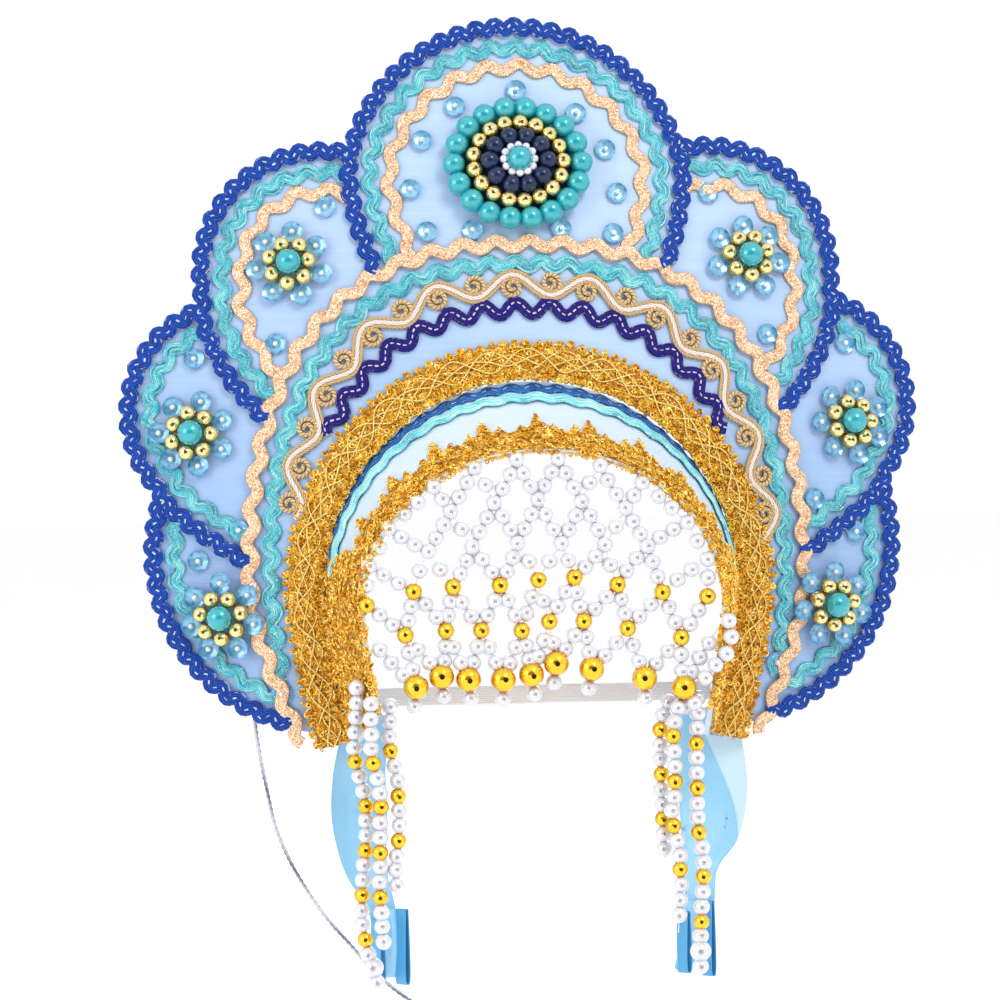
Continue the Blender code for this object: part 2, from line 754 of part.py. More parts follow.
def fused_piece(name, body, additions, colour):
    """One closed solid of a body and what is set into it."""
    piece = mesh_piece(name, body, colour)
    set_in(piece, additions)
    return piece


def crest_turn(point):
    """Rotation whose Z axis is the crest's normal at a point and whose Y axis runs outwards."""
    normal = crest_normal(point)
    angle = angle_of(point)
    outwards = Vector((
        math.cos(angle) * math.cos(CREST_LEAN), math.sin(CREST_LEAN), math.sin(angle) * math.cos(CREST_LEAN)
    ))
    across = outwards.cross(normal)
    return Matrix((across, outwards, normal)).transposed()


def net_heading():
    """Line of the net's heading string, just inside the band's front edge."""
    inset = BAND_WALL + GAP + NET_STRING / 2
    front = band_front_curve()
    points = []
    for index, point in enumerate(front):
        across = side_step(front, index)
        if across.dot(Vector((0, BAND_FRONT_CENTRE_Z)) - point) < 0:
            across = -across
        points.append(point + across * inset)
    return points


def heading_at(heading, x=None, z=None):
    """The heading's point on the right side at this x or this z."""
    half = heading[:len(heading) // 2 + 1]
    if z is not None:
        return min(half, key=lambda point: abs(point.y - z) + (0 if point.x > 0 else 1))
    return min(half[LEG_STEPS:], key=lambda point: abs(point.x - x))


def net_rows():
    """Crossings of each row of the net, from left to right."""
    heading = net_heading()
    top = []
    for step in range(NET_HEADINGS):
        x = (step - (NET_HEADINGS - 1) / 2) * NET_HEADING_SPACING
        point = heading_at(heading, x=abs(x))
        top.append(Vector((math.copysign(point.x, x), point.y)))
    rows = [top]
    for row in NET_ROWS:
        middle = (row.crossings - 1) / 2
        points = []
        for step in range(row.crossings):
            x = (step - middle) * row.pitch
            z = row.z - row.sag * (abs(step - middle) / middle) ** 2
            point = Vector((x, z))
            if row.edge_z and step in (0, row.crossings - 1):
                edge = heading_at(heading, z=row.edge_z)
                point = Vector((math.copysign(edge.x, x), edge.y))
            points.append(point)
        rows.append(points)
    return rows, heading_at(heading, z=NET_SIDE_Z)


def make_pearl_net():
    """The diamond net as one pierced sheet, with its gold beads set into the crossings."""
    rows, side = net_rows()
    depth = -BAND_FORWARD + NET_STRING / 2
    bm = bmesh.new()
    verts = [[bm.verts.new((point.x, depth, point.y)) for point in row] for row in rows]
    top, first = verts[0], verts[1]
    for left, right, below in zip(top, top[1:], first[1:]):
        bm.faces.new((left, right, below))
    for index, corner in enumerate(top):
        bm.faces.new((corner, first[index + 1], verts[2][index + 1], first[index]))
    for number in (1, 2, 3):
        upper, across, lower = verts[number], verts[number + 1], verts[number + 2]
        shift = (len(across) - len(upper)) // 2 if len(across) > len(upper) else 0
        for index, corner in enumerate(upper):
            left = index + shift if len(across) > len(upper) else index - 1
            if left < 0 or left + 1 >= len(across):
                continue
            bottom = index + (len(lower) - len(upper)) // 2
            bm.faces.new((corner, across[left + 1], lower[bottom], across[left]))
    for sign, edge in ((-1, 0), (1, -1)):
        start = bm.verts.new((sign * side.x, depth, side.y))
        bm.faces.new((verts[3][edge], start, verts[5][edge], verts[4][edge]))
    bmesh.ops.recalc_face_normals(bm, faces=bm.faces)
    net = mesh_piece("pearl_net", bm, "pearl", math.radians(30))
    strings = net.modifiers.new("strings", "WIREFRAME")
    strings.thickness = NET_STRING
    strings.use_boundary = True
    strings.use_even_offset = True
    strings.use_replace = True
    beads = bmesh.new()
    turn = Matrix.Rotation(math.pi / 2, 3, "X")
    for point in rows[-1]:
        add_bead(beads, Vector((point.x, depth, point.y)), NET_DROP_BEAD, turn)
    set_in(net, beads)


def make_flower(name, point, lift):
    """A pearl in a scalloped collar, with a ring of faceted sequins, this far off the crest."""
    turn = crest_turn(point)
    seat = on_crest(point, lift)
    body = bmesh.new()
    add_bead(body, seat + turn @ Vector((0, 0, PEARL / 2)), PEARL, turn)
    additions = bmesh.new()
    rim = []
    for step in range(2 * FLOWER_PETALS):
        angle = math.pi * step / FLOWER_PETALS
        radius = FLOWER_COLLAR - (FLOWER_COLLAR_DIP if step % 2 else 0.0)
        rim.append(additions.verts.new((radius * math.cos(angle), radius * math.sin(angle), 0.0)))
    floor = additions.faces.new(rim)
    top = bmesh.ops.extrude_face_region(additions, geom=[floor])["geom"]
    lifted = [item for item in top if isinstance(item, bmesh.types.BMVert)]
    bmesh.ops.translate(additions, verts=lifted, vec=(0, 0, FLOWER_COLLAR_HEIGHT))
    bmesh.ops.scale(additions, verts=lifted, vec=(0.8, 0.8, 1.0))
    for petal in range(FLOWER_PETALS):
        angle = math.tau * petal / FLOWER_PETALS
        spin = Matrix.Rotation(angle, 4, "Z")
        place = Matrix.Translation((FLOWER_RADIUS, 0, FLOWER_LIFT + SEQUIN_THICK / 2))
        bmesh.ops.create_cone(
            additions, cap_ends=True, cap_tris=False, segments=SEQUIN_SIDES, radius1=SEQUIN / 2,
            radius2=SEQUIN / 2, depth=SEQUIN_THICK, matrix=spin @ place,
        )
    bmesh.ops.recalc_face_normals(additions, faces=additions.faces)
    bmesh.ops.transform(additions, matrix=Matrix.Translation(seat) @ turn.to_4x4(), verts=additions.verts)
    fused_piece(name, body, additions, "teal_pearl")


def make_flowers():
    """The six flowers, one on each side lobe."""
    for lobe in SIDE_LOBES:
        point = polar(lobe.flower_angle, lobe.flower_past_opening)
        lift = 2 * GAP + ARCH_PEACH.thick if lobe.name in FLOWERS_ON_BRAIDS else GAP
        make_flower(f"flower_{lobe.name}_right", point, lift)
        make_flower(f"flower_{lobe.name}_left", Vector((-point.x, point.y)), lift)


def make_medallion():
    """The oval boss: a raised pad with a ring of pearls round it and one on top."""
    point = polar(math.pi / 2, MEDALLION_PAST_OPENING)
    turn = crest_turn(point)
    place = Matrix.Translation(on_crest(point, GAP)) @ turn.to_4x4()
    body = bmesh.new()
    pad_height = MEDALLION_PAD_HEIGHT + MEDALLION_DOME
    bmesh.ops.create_cone(
        body, cap_ends=True, cap_tris=False, segments=MEDALLION_PEARLS, radius1=1.0, radius2=0.5,
        depth=pad_height, matrix=Matrix.Translation((0, 0, pad_height / 2)),
    )
    bmesh.ops.scale(body, verts=body.verts, vec=(MEDALLION_HALF_WIDTH, MEDALLION_HALF_HEIGHT, 1))
    bmesh.ops.transform(body, matrix=place, verts=body.verts)
    rim = [
        Vector((MEDALLION_HALF_WIDTH * math.cos(angle), MEDALLION_HALF_HEIGHT * math.sin(angle)))
        for angle in (math.tau * step / RIM_STEPS for step in range(RIM_STEPS + 1))
    ]
    additions = bmesh.new()
    for seat in resampled(rim, lengths_along(rim)[-1] / MEDALLION_PEARLS)[:-1]:
        add_bead(additions, place @ Vector((*seat, MEDALLION_PEARL / 2)), MEDALLION_PEARL, turn)
    add_bead(additions, place @ Vector((0, 0, pad_height)), PEARL, turn)
    fused_piece("medallion", body, additions, "teal_pearl")


# Hanging pieces


def smooth_route(points, spacing):
    """Points this far apart on a smooth curve through the route's own points."""
    ends = [2 * points[0] - points[1], *points, 2 * points[-1] - points[-2]]
    fine = []
    for before, start, end, after in zip(ends, ends[1:], ends[2:], ends[3:]):
        for step in range(16):
            t = step / 16
            fine.append(0.5 * (
                2 * start + (end - before) * t + (2 * before - 5 * start + 4 * end - after) * t**2
                + (3 * start - before - 3 * end + after) * t**3
            ))
    fine.append(points[-1])
    return resampled(fine, spacing)


def tube_piece(name, points, diameter, spacing, colour):
    """A round tube with closed ends along a smooth route."""
    curve = bpy.data.curves.new(name, "CURVE")
    curve.dimensions = "3D"
    curve.bevel_depth = diameter / 2
    curve.bevel_resolution = 2
    curve.use_fill_caps = True
    route = smooth_route([Vector(point) for point in points], spacing)
    spline = curve.splines.new("POLY")
    spline.points.add(len(route) - 1)
    for control, place in zip(spline.points, route):
        control.co = (*place, 1)
    return add_object(name, curve, colour)


def make_strands():
    """Three strings of beads at each temple."""
    for name, points in STRANDS.items():
        tube_piece(name, points, STRAND, STRAND_POINT, "pearl")


def behind_board(x, z):
    """Depth at which a tie's back clears the board and the band, or would if they went on down."""
    board = on_crest(Vector((x, max(z, 0.0)))).y + CREST_BOARD / math.cos(CREST_LEAN)
    return max(board, BAND_BEHIND + GAP) + GAP + TIE_CLOTH


def make_ties():
    """The satin ties behind the feet, folded up at the bottom."""
    middle_x = OPENING_RADIUS - TIE_INSIDE_OPENING
    for name, sections in TIES.items():
        side = -1 if name.endswith("left") else 1
        rows = [(section.outer, section.inner, section.drop, 0.0) for section in sections]
        last = sections[-1]
        rows.append((last.outer, last.inner, last.drop + TIE_TURN / TIE_DROP / 2, 0.5))
        rows.append((last.outer, last.inner, last.drop, 1.0))
        for drop, width in TIE_FOLD:
            middle = (last.outer + last.inner) / 2
            half = (last.outer - last.inner) / 2 * width
            rows.append((middle + half, middle - half, drop, 1.0))
        stations = []
        for outer, inner, drop, turn in rows:
            z = TIE_TOP_Z - drop * TIE_DROP
            xs = (middle_x + inner * TIE_WIDTH, middle_x + outer * TIE_WIDTH)
            stations.append([Vector((side * x, behind_board(x, z) - turn * TIE_TURN, z)) for x in xs])
        sheet_piece(name, stations, TIE_CLOTH, forward, "ribbon")


def make_strap():
    """The elastic strap from one side of the band to the other."""
    depth = (BAND_BEHIND - STRAP_Y + STRAP_THICK / 2) / (BAND_BEHIND + BAND_FORWARD)
    legs = [on_band(step / BAND_COLUMNS / 8, depth, -BAND_WALL) for step in range(BAND_COLUMNS)]
    end = min(place.x for place in legs if place.z > STRAP_Z - STRAP_WIDTH / 2) - 2 * GAP
    bm = bmesh.new()
    bmesh.ops.create_cube(bm, size=1.0)
    bmesh.ops.scale(bm, verts=bm.verts, vec=(2 * end, STRAP_THICK, STRAP_WIDTH))
    bmesh.ops.translate(bm, verts=bm.verts, vec=(0, STRAP_Y, STRAP_Z))
    mesh_piece("elastic_strap", bm, "elastic")


def make_cord():
    """The thin cord behind the lower left lobe, with its end knot."""
    tube_piece("tie_cord", CORD_ROUTE, CORD, CORD_POINT, "silver_cord")
    end, before = Vector(CORD_ROUTE[-1]), Vector(CORD_ROUTE[-2])
    knot = bmesh.new()
    add_bead(knot, end + (end - before).normalized() * (CORD_KNOT / 2 + GAP), CORD_KNOT)
    mesh_piece("tie_cord_knot", knot, "silver_cord")


for leftover in list(bpy.data.objects):
    bpy.data.objects.remove(leftover, do_unlink=True)

band_back_curve_points = band_back_curve()
band_front_curve_points = band_front_curve()
arch_lines = arch_braid_lines()
make_crest()
make_arch_braids(arch_lines)
make_lobe_braids(arch_lines)
make_brow_band()
make_band_trims()
make_pearl_net()
make_medallion()
make_flowers()
make_strands()
make_ties()
make_strap()
make_cord()
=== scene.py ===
"""Looks of the kokoshnik headdress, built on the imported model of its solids.

Metres, +Z up, the front faces -Y, and +X runs to the right of someone who faces the wearer.
"""

from __future__ import annotations

import json
import logging
import math
import random
from dataclasses import dataclass, field
from enum import Enum
from typing import Callable, Iterable, Optional, Sequence, Union

import bmesh
import bpy
from mathutils import Matrix, Vector, noise

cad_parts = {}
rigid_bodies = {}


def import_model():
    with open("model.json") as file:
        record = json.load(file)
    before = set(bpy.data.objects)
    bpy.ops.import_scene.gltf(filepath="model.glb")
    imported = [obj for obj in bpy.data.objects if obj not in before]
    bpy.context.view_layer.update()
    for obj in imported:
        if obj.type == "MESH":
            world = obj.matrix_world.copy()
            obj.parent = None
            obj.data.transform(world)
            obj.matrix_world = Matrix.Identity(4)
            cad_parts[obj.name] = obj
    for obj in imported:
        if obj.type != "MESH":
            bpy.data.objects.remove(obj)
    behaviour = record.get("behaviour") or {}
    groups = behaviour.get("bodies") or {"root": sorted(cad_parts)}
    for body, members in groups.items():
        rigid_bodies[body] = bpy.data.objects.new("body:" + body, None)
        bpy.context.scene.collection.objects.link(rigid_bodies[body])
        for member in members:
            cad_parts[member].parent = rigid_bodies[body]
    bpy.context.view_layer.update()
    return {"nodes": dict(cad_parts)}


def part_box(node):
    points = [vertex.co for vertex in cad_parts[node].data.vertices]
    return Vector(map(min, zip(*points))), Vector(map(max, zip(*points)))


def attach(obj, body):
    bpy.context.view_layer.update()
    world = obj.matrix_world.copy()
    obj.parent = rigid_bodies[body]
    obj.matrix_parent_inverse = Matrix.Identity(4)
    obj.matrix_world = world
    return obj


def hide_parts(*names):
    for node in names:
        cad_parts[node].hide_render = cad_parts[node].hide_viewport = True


LOG = logging.getLogger("kokoshnik")
BODY = "root"
GAP = 0.0003
DIMPLE = 0.62
UP = Vector((0, 0, 1))
FRONT = Vector((0, -1, 0))


# Shader building


class Wire:
    """A shader socket that takes part in sums."""

    def __init__(self, paint: "Paint", socket: bpy.types.NodeSocket) -> None:
        """Wraps a socket of the paint's node tree."""
        self.paint = paint
        self.socket = socket

    def _sum(self, operation: str, *terms: Union["Wire", float], clamp: bool = False) -> "Wire":
        """Adds one Math node.

        Args:
            operation: The Math node's operation.
            terms: Its inputs in order.
            clamp: Whether the result is kept from 0 to 1.

        Returns:
            The node's output.
        """
        inputs = dict(enumerate(terms))
        node = self.paint.node("ShaderNodeMath", {"operation": operation, "use_clamp": clamp}, inputs)
        return Wire(self.paint, node.outputs[0])

    def __add__(self, other: Union["Wire", float]) -> "Wire":
        """Sum."""
        return self._sum("ADD", self, other)

    __radd__ = __add__

    def __sub__(self, other: Union["Wire", float]) -> "Wire":
        """Difference."""
        return self._sum("SUBTRACT", self, other)

    def __rsub__(self, other: float) -> "Wire":
        """Difference from a number."""
        return self._sum("SUBTRACT", other, self)

    def __mul__(self, other: Union["Wire", float]) -> "Wire":
        """Product."""
        return self._sum("MULTIPLY", self, other)

    __rmul__ = __mul__

    def __truediv__(self, other: Union["Wire", float]) -> "Wire":
        """Quotient."""
        return self._sum("DIVIDE", self, other)

    def __pow__(self, other: float) -> "Wire":
        """Power."""
        return self._sum("POWER", self, other)

    def __mod__(self, other: float) -> "Wire":
        """Remainder, from 0 up to the divisor."""
        return self._sum("FLOORED_MODULO", self, other)

    def __abs__(self) -> "Wire":
        """Size without its sign."""
        return self._sum("ABSOLUTE", self)

    def sine(self) -> "Wire":
        """Sine of the value."""
        return self._sum("SINE", self)

    def floor(self) -> "Wire":
        """Whole part of the value."""
        return self._sum("FLOOR", self)

    def above(self, limit: float) -> "Wire":
        """1 where the value is over a limit, else 0."""
        return self._sum("GREATER_THAN", self, limit)

    def below(self, limit: float) -> "Wire":
        """1 where the value is under a limit, else 0."""
        return self._sum("LESS_THAN", self, limit)

    def held(self) -> "Wire":
        """The value kept from 0 to 1."""
        return self._sum("ADD", self, 0.0, clamp=True)


Value = Union[Wire, float, Sequence[float]]


class Paint:
    """A material under construction."""

    def __init__(self, name: str, **constants: Value) -> None:
        """Starts a material.

        Args:
            name: The material's name.
            constants: Values of the shader's own sockets that are the same all over, by socket name with
                its spaces as underscores.
        """
        self.material = bpy.data.materials.new(name)
        self.material.use_nodes = True
        self.tree = self.material.node_tree
        self.shader = self.tree.nodes["Principled BSDF"]
        for key, value in constants.items():
            self.shader.inputs[key.replace("_", " ").title().replace("Ior", "IOR")].default_value = value

    def node(
        self, kind: str, settings: Optional[dict] = None, inputs: Optional[dict] = None
    ) -> bpy.types.Node:
        """Adds a node.

        Args:
            kind: The node's type.
            settings: Its properties, with a ramp's stops as a list of (position, colour) under "stops".
            inputs: Values or wires by the socket's name or number.

        Returns:
            The node.
        """
        node = self.tree.nodes.new(kind)
        for key, value in (settings or {}).items():
            if key != "stops":
                setattr(node, key, value)
                continue
            stops = node.color_ramp.elements
            while len(stops) < len(value):
                stops.new(1.0)
            for stop, (position, colour) in zip(stops, value):
                stop.position = position
                stop.color = (*colour, 1)
        for key, value in (inputs or {}).items():
            if isinstance(value, Wire):
                self.tree.links.new(value.socket, node.inputs[key])
            else:
                node.inputs[key].default_value = value
        return node

    def place(self, scale: Sequence[float] = (1, 1, 1)) -> Wire:
        """Object coordinates, stretched by a scale for each axis."""
        coordinates = self.node("ShaderNodeTexCoord")
        link = Wire(self, coordinates.outputs["Object"])
        mapping = self.node("ShaderNodeMapping", {}, {"Vector": link, "Scale": scale})
        return Wire(self, mapping.outputs["Vector"])

    def height(self) -> Wire:
        """Height over the origin."""
        return Wire(self, self.node("ShaderNodeSeparateXYZ", {}, {0: self.place()}).outputs[2])

    def along_across(self) -> tuple[Wire, Wire]:
        """The piece's own map: metres along it, and the share across it."""
        coordinates = self.node("ShaderNodeTexCoord")
        split = self.node("ShaderNodeSeparateXYZ", {}, {0: Wire(self, coordinates.outputs["UV"])})
        return Wire(self, split.outputs[0]), Wire(self, split.outputs[1])

    def vector(self, x: Value, y: Value, z: Value = 0.0) -> Wire:
        """A vector from its three parts."""
        return Wire(self, self.node("ShaderNodeCombineXYZ", {}, {0: x, 1: y, 2: z}).outputs[0])

    def noise(self, vector: Wire, scale: float, detail: float = 2.0, rough: float = 0.5) -> Wire:
        """Soft noise from 0 to 1."""
        inputs = {"Vector": vector, "Scale": scale, "Detail": detail, "Roughness": rough}
        return Wire(self, self.node("ShaderNodeTexNoise", {}, inputs).outputs[0])

    def cells(self, vector: Wire, scale: float, feature: str = "F1", output: str = "Distance") -> Wire:
        """Cell pattern, as distances or as one colour a cell."""
        inputs = {"Vector": vector, "Scale": scale}
        return Wire(self, self.node("ShaderNodeTexVoronoi", {"feature": feature}, inputs).outputs[output])

    def grey(self, colour: Wire) -> Wire:
        """Red part of a colour, as a number."""
        return Wire(self, self.node("ShaderNodeSeparateColor", {}, {0: colour}).outputs[0])

    def ramp(self, value: Wire, stops: Sequence[tuple[float, Sequence[float]]]) -> Wire:
        """A colour by value."""
        return Wire(self, self.node("ShaderNodeValToRGB", {"stops": list(stops)}, {0: value}).outputs[0])

    def mix(self, share: Value, first: Value, second: Value) -> Wire:
        """A colour between two others."""

        def as_colour(value: Value) -> Value:
            return value if isinstance(value, Wire) else (*value, 1)

        inputs = {0: share, 6: as_colour(first), 7: as_colour(second)}
        return Wire(self, self.node("ShaderNodeMix", {"data_type": "RGBA"}, inputs).outputs[2])

    def smooth(self, value: Wire, low: float, high: float) -> Wire:
        """An eased step from 0 at the low value to 1 at the high one."""
        settings = {"interpolation_type": "SMOOTHSTEP"}
        node = self.node("ShaderNodeMapRange", settings, {0: value, 1: low, 2: high})
        return Wire(self, node.outputs[0])

    def bump(self, height: Wire, distance: float, strength: float = 1.0) -> None:
        """Feeds a relief of this height in metres to the shader's normal."""
        inputs = {"Height": height, "Distance": distance, "Strength": strength}
        self.dress(Normal=Wire(self, self.node("ShaderNodeBump", {}, inputs).outputs[0]))

    def dress(self, **links: Wire) -> None:
        """Links wires to the shader's sockets, named with underscores for spaces."""
        for key, wire in links.items():
            self.tree.links.new(wire.socket, self.shader.inputs[key.replace("_", " ")])


# Finishes

Colour = tuple[float, float, float]


@dataclass(frozen=True)
class Satin:
    """Woven satin with a fine crosswise thread."""

    name: str
    light: Colour
    deep: Colour
    rough: float = 0.42
    thread: float = 0.00035
    # painted light from above: how far the satin pales towards the top and deepens lower down
    top_light: float = 0.0

    def material(self) -> bpy.types.Material:
        """The satin's material, with painted light from above that makes it paler towards the top."""
        paint = Paint(self.name, sheen_weight=0.2, sheen_roughness=0.4)
        threads = paint.noise(paint.place((60, 60, 0.55 / self.thread)), 1.0, 3.0, 0.6)
        slubs = paint.noise(paint.place((25, 25, 400)), 1.0, 2.0)
        clouds = paint.noise(paint.place(), 18.0, 3.0)
        # painted light from above: paler higher up, deeper lower down
        painted_top_light = (paint.smooth(paint.height(), 0.02, 0.24) - 0.5) * self.top_light
        shade = (threads * 0.45 + slubs * 0.25 + clouds * 0.5 - 0.1 + painted_top_light).held()
        paint.dress(Base_Color=paint.mix(shade, self.deep, self.light))
        paint.dress(Roughness=(self.rough + (threads - 0.5) * 0.25 + (clouds - 0.5) * 0.1).held())
        paint.bump(threads * 0.7 + slubs * 0.5, 0.00006)
        return paint.material


@dataclass(frozen=True)
class StitchedYarn:
    """Fuzzy dyed yarn with a dashed bright thread along the middle."""

    name: str
    dark: Colour
    bright: Colour
    stitch: Colour = (0.86, 0.88, 0.95)
    stitch_pitch: float = 0.0030
    stitch_share: float = 0.62
    threads: int = 5
    edge_glint: float = 0.35

    def material(self) -> bpy.types.Material:
        """The yarn's material, on the piece's own map."""
        paint = Paint(self.name, sheen_weight=0.04, sheen_roughness=0.35, specular_ior_level=0.25)
        along, across = paint.along_across()
        fibres = paint.noise(paint.vector(along * 700.0, across * 22.0), 1.0, 3.0, 0.7)
        lean = paint.noise(paint.vector(along * 260.0, across * 4.0), 1.0, 1.0)
        ply = ((across * self.threads + along * 180.0) * math.tau).sine() * 0.5 + 0.5
        # the ply stripes add painted shade in the grooves between the twisted plies and painted highlight on
        # them; fibres and lean give a random tone
        shade = ((fibres - 0.5) * 1.9 + ply * 0.45 + (lean - 0.5) * 0.8 + 0.22).held()
        body = paint.mix(shade, self.dark, self.bright)
        middle = abs(across - 0.5)
        wander = (paint.noise(paint.vector(along * 160.0, 0.0), 1.0, 1.0) - 0.5) * 0.16
        line = 1.0 - paint.smooth(abs(middle + wander), 0.03, 0.075)
        dash = ((along / self.stitch_pitch) % 1.0).below(self.stitch_share)
        glints = paint.cells(paint.vector(along * 1400.0, across * 9.0), 1.0, output="Color")
        edge = paint.smooth(middle, 0.30, 0.42) * paint.grey(glints).above(0.86) * self.edge_glint
        mask = (line * dash + edge).held()
        paint.dress(Base_Color=paint.mix(mask, body, self.stitch))
        paint.dress(Roughness=0.62 - mask * 0.3)
        paint.bump(fibres * 0.8 + ply * 0.9 + mask * 1.2, 0.00028)
        return paint.material


@dataclass(frozen=True)
class StrandedRibbon:
    """A band of shiny strands side by side, with thin metal threads between them."""

    name: str
    stops: tuple[tuple[float, Colour], ...]
    metal: Colour
    strands: int = 6
    metal_share: float = 0.35

    def material(self) -> bpy.types.Material:
        """The band's material, on the piece's own map."""
        paint = Paint(self.name, sheen_weight=0.15)
        along, across = paint.along_across()
        sway = (paint.noise(paint.vector(along * 150.0, across * 1.5), 1.0, 2.0) - 0.5) * 0.22
        lane = (across + sway) * self.strands
        round_strand = abs((lane * math.pi).sine())
        fibres = paint.noise(paint.vector(along * 420.0, lane * 3.0), 1.0, 3.0, 0.65)
        tone = paint.noise(paint.vector(along * 95.0, lane.floor() * 3.7), 1.0, 2.0, 0.6)
        shade = ((tone - 0.5) * 2.2 + 0.56 + (fibres - 0.5) * 1.3).held()
        # painted highlight along each strand's middle and painted shade at its sides, where it rounds off; tone
        # and fibres give a random tone
        body = paint.ramp(shade * (0.55 + round_strand * 0.45), self.stops)
        glints = paint.grey(paint.cells(paint.vector(along * 2300.0, lane * 5.0), 1.0, output="Color"))
        groove = 1.0 - paint.smooth(round_strand, 0.18, 0.5)
        mask = (groove * glints.above(1.0 - self.metal_share * 1.4) + glints.above(0.965) * 0.7).held()
        paint.dress(Base_Color=paint.mix(mask, body, self.metal))
        paint.dress(Roughness=0.5 - mask * 0.22)
        paint.dress(Metallic=mask * 0.6)
        paint.bump(round_strand * 1.0 + fibres * 0.35, 0.00028)
        return paint.material


@dataclass(frozen=True)
class GlitterBraid:
    """A tight knit of metallic yarn that sparkles in several tints, painted darker towards its edges as painted
    shade.
    """

    name: str
    stops: tuple[tuple[float, Colour], ...]
    # painted shade: colour towards the braid's edges
    edge: Colour
    grain: float = 0.00055

    def material(self) -> bpy.types.Material:
        """The braid's material, on object coordinates and the piece's own map."""
        paint = Paint(self.name, sheen_weight=0.1)
        _, across = paint.along_across()
        grains = paint.cells(paint.place(), 1 / self.grain, output="Color")
        domes = paint.cells(paint.place(), 1 / self.grain)
        clouds = paint.noise(paint.place(), 260.0, 2.0)
        tint = (paint.grey(grains) * 0.8 + clouds * 0.4 - 0.1).held()
        body = paint.ramp(tint, self.stops)
        # painted shade towards both edges of the braid
        border = paint.smooth(abs(across - 0.5), 0.40, 0.5)
        paint.dress(Base_Color=paint.mix(border * 0.75, body, self.edge))
        sparkle = paint.grey(grains).above(0.72)
        paint.dress(Roughness=0.5 - sparkle * 0.25)
        paint.dress(Metallic=0.15 + sparkle * 0.45)
        paint.bump(1.0 - domes * 1.2, 0.00018)
        return paint.material


@dataclass(frozen=True)
class MetalThread:
    """Crinkled metallic thread, from painted shade in its hollows to painted highlights on its tips."""

    name: str
    stops: tuple[tuple[float, Colour], ...]
    scale: float = 1500.0
    metallic: float = 0.55
    rough: float = 0.38
    relief: float = 0.0004

    def material(self) -> bpy.types.Material:
        """The thread's material, on object coordinates."""
        paint = Paint(self.name)
        curls = paint.cells(paint.place(), self.scale, output="Color")
        domes = paint.cells(paint.place(), self.scale)
        knots = paint.noise(paint.place(), self.scale * 0.45, 3.0, 0.7)
        # the cells give a random tone; the knots, which also raise the bump, add painted highlight on the tips
        # and painted shade in the hollows
        tint = (paint.grey(curls) * 0.62 + (knots - 0.5) * 1.1 + 0.22).held()
        paint.dress(Base_Color=paint.ramp(tint, self.stops))
        paint.dress(Roughness=(self.rough + (0.5 - tint) * 0.25).held())
        paint.dress(Metallic=self.metallic * (0.5 + tint * 0.5))
        paint.bump(1.0 - domes * 1.1 + knots, self.relief)
        return paint.material


@dataclass(frozen=True)
class TwistedCord:
    """Plies of cord wound round each other, painted lighter on their crowns as painted highlight and darker
    between them as painted shade.
    """

    name: str
    dark: Colour
    bright: Colour
    pitch: float = 0.0022
    plies: int = 2
    metallic: float = 0.2
    rough: float = 0.38

    def material(self) -> bpy.types.Material:
        """The cord's material, on the piece's own map."""
        paint = Paint(self.name)
        along, around = paint.along_across()
        turn = (along / self.pitch + around * self.plies) % 1.0
        ply = ((turn * math.pi).sine()) ** 0.7
        fibres = paint.noise(paint.vector(along * 1500.0, around * 14.0), 1.0, 2.0)
        # painted highlight on each ply's crown and painted shade in the grooves between plies; the fibres give a
        # random tone
        shade = (ply * 0.85 + (fibres - 0.5) * 0.5).held()
        paint.dress(Base_Color=paint.mix(shade, self.dark, self.bright))
        paint.dress(Roughness=(self.rough + (fibres - 0.5) * 0.3).held())
        paint.dress(Metallic=self.metallic * shade)
        paint.bump(ply + fibres * 0.3, 0.00022)
        return paint.material


@dataclass(frozen=True)
class BeadLustre:
    """Moulded bead with a clear or pearly coat, and on its own map painted shade that darkens its hole and the
    band round its middle.
    """

    name: str
    light: Colour
    deep: Colour
    rough: float = 0.16
    metallic: float = 0.0
    coat: float = 0.8
    # painted shade: colour of the shade in the bead's hole, when it has one
    hole: Optional[Colour] = None
    hole_size: float = 0.075
    # painted shade: colour of the darker band round the bead's middle, when it has one
    waist_shade: Optional[Colour] = None

    def material(self) -> bpy.types.Material:
        """The bead's material."""
        paint = Paint(self.name, coat_weight=self.coat, coat_roughness=0.04, metallic=self.metallic)
        swirl = paint.noise(paint.place(), 320.0, 3.0)
        tiny = paint.noise(paint.place(), 2600.0, 2.0)
        body = paint.mix((swirl * 1.3 - 0.15).held(), self.deep, self.light)
        _, height = paint.along_across()
        from_pole = 0.5 - abs(height - 0.5)
        # painted shade round the bead's middle, between its poles
        if self.waist_shade:
            body = paint.mix(paint.smooth(from_pole, 0.26, 0.47), body, self.waist_shade)
        # painted shade in the hole at each pole
        if self.hole:
            hole_shade = 1.0 - paint.smooth(from_pole, self.hole_size * 0.6, self.hole_size)
            body = paint.mix(hole_shade, body, self.hole)
        paint.dress(Base_Color=body)
        paint.dress(Roughness=(self.rough + (swirl - 0.5) * 0.12).held())
        paint.bump(tiny * 0.5 + swirl * 0.5, 0.00002)
        return paint.material


